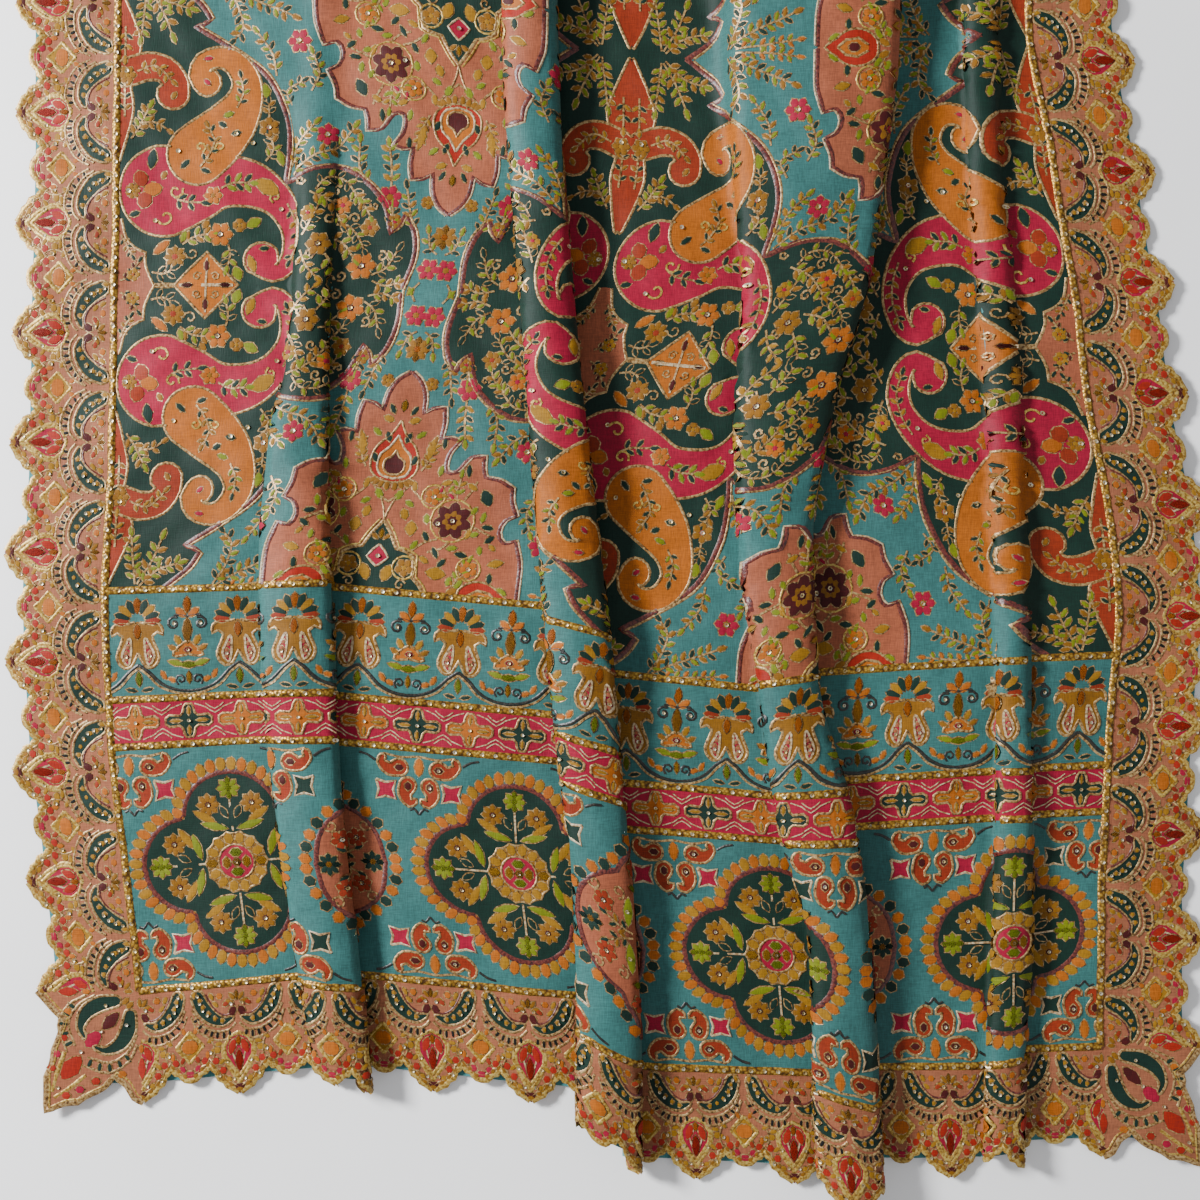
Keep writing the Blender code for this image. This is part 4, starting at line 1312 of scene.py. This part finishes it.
border_board = Board(*BORDER_BOARD)
b = border_board
scallop = arcs(
    "-2,113 4,109 9,106", "9,106 14,104 17,99", "17,99 23,96 25,89", "25,89 29,86 33,81",
    "33,81 37,87 42,88", "42,88 48,94 56,95",
)
b.fill("salmon", np.concatenate([scallop, [(60, 95), (60, -9), (-9, -9), (-9, 113)]]))
b.cord(scallop - (0, 0.8), "bright gold", 2.6)
b.cord(scallop - (0, 6.4), "gold", 1.2)
for x, y in scallop[1:-1:2]:
    b.leaf(x, y - 4.6, 90, 6, 6, "bronze", 0.5)
green = brush("43,12,7.5 38,23,8.5 28,33,7.5 16,38,5 6,35,2.5", 4)
b.shape("dark green", green, "gold", 1.3)
b.cord(curve("34,9 30,18 22,28 12,32 5,29"), "maroon", 1.1)
b.cord(curve("50,24 42,38 26,47 10,47 2,40"), "gold", 1.3)
b.cord(curve("52,30 44,46 26,56 10,56 3,50"), "gold", 1.3)
for x, y, turn in (
    (46, 35, 20), (41, 41, 35), (35, 46, 50), (29, 49, 65), (23, 51, 80), (16, 52, 90), (9, 51, 100),
):
    b.leaf(x, y, turn, 8, 3.2, "black", 0.6)
for x, y, turn in ((0, 12, -90), (5, 13, -50), (8, 18, -15)):
    b.leaf(x, y, turn, 9, 4.5, "bronze", 0.7)
b.shape(
    "raspberry",
    np.array([(-9, 50), (0, 50), (10, 54), (16, 63), (15, 73), (8, 84), (0, 94), (-9, 94)], float),
    "bright gold", 1.8,
)
for x, y in ((41, 15), (38, 22), (32, 29), (25, 34), (17, 37)):
    b.leaf(x, y, 0, 4.5, 4.5, "mustard", 0.5)
for x, y, turn in (
    (22, 60, 10), (31, 56, 30), (30, 68, 60), (19, 78, 40), (47, 8, 90), (28, 12, 120), (24, 20, 140),
):
    b.leaf(x, y, turn, 8, 4.5, "mustard", 0.6)
b.cord(curve("17,60 17,72 9,88 0,100"), "bright gold", 2.0)
b.cord(curve("2,62 7,66 5,76 0,84"), "cream", 0.7)
b.cord(curve("33,52 28,60 27,70 30,78"), "gold", 1.0)
diamond = np.array([(54, 46), (39, 61), (54, 77), (69, 61)], float)
b.fill("mustard", diamond)
b.cord(np.linspace((54, 46), (39, 61), 5), "bright gold", 1.6)
b.cord(np.linspace((39, 61), (54, 77), 5), "bright gold", 1.6)
b.sequins += [(43, 10), (41, 18), (38, 25), (33, 30), (13, 78), (22, 92), (6, 20), (31, 68), (6, 96)]
b.foliage("maroon", 0.5, "5,28,60,11,8 2,104,0,7,6")
b.foliage("orange", 0.5, "19,12,0,7,7 52,61,0,14,14")
b.foliage("vermilion", 0.6, "7,64,70,16,8")
b.foliage("vermilion", 0.8, "0,78,90,22,9")
b.foliage("orange", 0.8, "0,58,90,9,6")
b.foliage("orange", 0.6, "47,45,60,8,5 35,70,90,8,5")
b.foliage("rust", 0.6, "12,20,30,8,5 46,74,120,8,5")
b.foliage("mustard", 0.5, "24,66,0,8,7 12,97,0,7,7")
b.foliage("vermilion", 0.5, "26,77,0,9,8 18,87,0,8,8 38,76,0,8,8")
b.foliage("raspberry", 0.5, "45,83,0,8,8 53,88,0,8,7")

corner_board = Board(*CORNER_BOARD)
b = corner_board
corner_edge = arcs(
    "0,113 9,108 16,96 29,86", "29,86 38,96 46,101", "46,101 58,106 66,112", "66,112 80,113 97,120",
    "97,120 96,100 96,86", "96,86 90,72 88,60", "88,60 82,46 76,29", "76,29 88,18 96,8 103,0",
)
b.fill("salmon", np.concatenate([corner_edge, [(103, -2), (-2, -2), (-2, 113)]]))
b.cord(corner_edge - (0.6, 0.6), "gold", 2.6)
b.cord(corner_edge - (4, 4), "bright gold", 1.0)
spine = [(10, 24, 6), (13, 40, 8), (22, 54, 7), (36, 60, 4), (46, 56, 2.5)]
for side in (0, 1):
    turned = [(y, x, w) if side else (x, y, w) for x, y, w in spine]
    b.shape("dark green", brush(turned, 4), "gold", 1.3)
    for line in ([(4, 44), (14, 62), (32, 72), (54, 66)], [(4, 54), (14, 72), (34, 82), (60, 74)]):
        b.cord(curve([(y, x) if side else (x, y) for x, y in line]), "gold", 1.3)
    for x, y, turn in ((14, 68, 130), (22, 74, 110), (32, 77, 95), (42, 76, 80), (52, 72, 65)):
        place = (y, x, 90 - turn) if side else (x, y, turn)
        b.leaf(*place, 9, 4, "dark green", 0.6)
    dots = ((20, 84, "orange"), (46, 90, "vermilion"), (62, 98, "raspberry"), (76, 104, "vermilion"))
    for x, y, dye in dots:
        place = (y * 0.86, x) if side else (x, y)
        b.leaf(*place, 0, 9, 8, dye, 0.5)
    place = (10, 14) if side else (14, 10)
    b.leaf(*place, 45, 9, 6, "bronze")
b.cord(curve("56,84 72,96 88,106"), "bright gold", 1.8)
b.cord(curve("76,60 84,80 90,100"), "bright gold", 1.8)
b.sequins += [(14, 34), (34, 14), (60, 60), (84, 96), (40, 40)]
b.foliage("maroon", 0.8, "30,30,45,24,12")
b.foliage("raspberry", 0.6, "48,48,45,20,14")
b.foliage("vermilion", 0.8, "70,76,48,30,18")


def flips(count):
    """For a row of repeats with every other one mirrored: where each starts, and the way it runs."""
    return [(k + k % 2, -1 if k % 2 else 1) for k in range(count)]


border_print = cut_print(border_board, BORDER_STEP)
border_stitches = stitched_on(border_board)
corner_print = cut_print(corner_board, BORDER_STEP)
corner_stitches = stitched_on(corner_board)
for name, sign in ENDS:
    step = INNER_WIDTH / HEM_REPEATS / 2
    down = np.array([0, sign * HEM_BORDER / BORDER_BOARD[1]])
    places = [
        ((k * step, sign * PANEL_END), np.array([way * step / BORDER_BOARD[0], 0]), down)
        for k, way in flips(2 * HEM_REPEATS)
    ]
    corners = [
        ((edge, sign * PANEL_END), np.array([way * SQUARE, 0]), down)
        for edge, way in ((0, -1), (INNER_WIDTH, 1))
    ]
    shown = joined([spread([border_print], places), spread([corner_print], corners)])
    piece = cloth_object("hem_print_" + name, welded(shown), silks)
    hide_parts("border_" + name)
    worked = joined([spread(border_stitches, places), spread(corner_stitches, corners)])
    piece = cloth_object("hem_stitches_" + name, worked, stitched)
for name, edge, out in (("left", 0, -1), ("right", INNER_WIDTH, 1)):
    step = PANEL_END / SIDE_REPEATS
    down = np.array([out * SIDE_BORDER / BORDER_BOARD[1], 0])
    places = [
        ((edge, k * step - PANEL_END), np.array([0, way * step / BORDER_BOARD[0]]), down)
        for k, way in flips(2 * SIDE_REPEATS)
    ]
    piece = cloth_object("side_print_" + name, spread([border_print], places, True), silks)
    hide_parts("border_" + name)
    piece = cloth_object("side_stitches_" + name, spread(border_stitches, places), stitched)

# The gold bands: flat woven gold ribbon with sequins along it, sewn over every seam between the field, the
# end panels and the borders, and along both sides of the band of crosses.
BAND_WIDTH = 0.0054
BAND_STEP = 0.006
BAND_ACROSS = (-0.5, -0.3, 0, 0.3, 0.5)
BAND_LIFTS = (0.0007, 0.0018, 0.0022, 0.0018, 0.0007)
CROSS_SEAMS = (0.0684, 0.0978)
SEQUIN_GAP = 0.0085
BAND_SEQUIN = 2.2
BAND_SEQUIN_RISE = 0.0006
WIRE_COLOURS = ((236, 196, 84), (184, 134, 34), (92, 58, 14))
WIRE_DEPTH = 1.3
WIRE_ROUGHNESS = 0.4
WIRE_METAL = 0.55


def gold_band_material():
    """Close rows of flat gold wire, yellow where it catches the light and brown between."""
    made, tree, shader = new_material("gold ribbon", Roughness=WIRE_ROUGHNESS, Metallic=WIRE_METAL)
    place = node(tree, "TexCoord").outputs["Object"]
    cells = node(tree, "TexVoronoi", Scale=480, Vector=place).outputs["Distance"]
    low, mid, high = ([part * THREAD_DEPTH * WIRE_DEPTH for part in from_screen(c)] for c in WIRE_COLOURS)
    plug(tree, shader, Base_Color=ramp(tree, ((0.1, low), (0.45, mid), (0.8, high)), cells))
    relief(tree, shader, 0.7, 0.0006, cells).invert = True
    return made


def band(start, end):
    """A ribbon between two flat points, and the places of its sequins."""
    start, way = np.array(start), np.array(end) - np.array(start)
    length = np.hypot(*way)
    rows = round(length / BAND_STEP) + 1
    line = start + way * np.linspace(0, 1, rows)[:, None]
    out = np.array([-way[1], way[0]]) / length
    across = np.array(BAND_ACROSS) * BAND_WIDTH
    flat = (line[:, None] + across[:, None] * out).reshape(-1, 2)
    a = (np.arange(rows - 1)[:, None] * 5 + np.arange(4)).reshape(-1)
    faces = np.concatenate([np.stack([a, a + 5, a + 6], axis=1), np.stack([a, a + 6, a + 1], axis=1)])
    spots = start + way * np.linspace(0, 1, round(length / SEQUIN_GAP) + 2)[1:-1, None]
    return (flat, np.tile(BAND_LIFTS, rows), faces[:, ::-1], np.zeros(len(faces), int)), spots


lines = [((edge, -PANEL_END), (edge, PANEL_END)) for edge in (0, INNER_WIDTH)]
for sign in (-1, 1):
    for at in (FIELD_HALF, FIELD_HALF + CROSS_SEAMS[0], FIELD_HALF + CROSS_SEAMS[1], PANEL_END):
        lines.append(((0, sign * at), (INNER_WIDTH, sign * at)))
bands, spots = zip(*[band(start, end) for start, end in lines])
flat, lifts, faces, dyes = lay_sequins(np.concatenate(spots) / SQUARE, BAND_SEQUIN)
sequins = (flat * SQUARE, lifts + BAND_SEQUIN_RISE, faces, np.ones(len(faces), int))
piece = cloth_object("gold_bands", joined([*bands, sequins]), [gold_band_material(), sequin_gold])
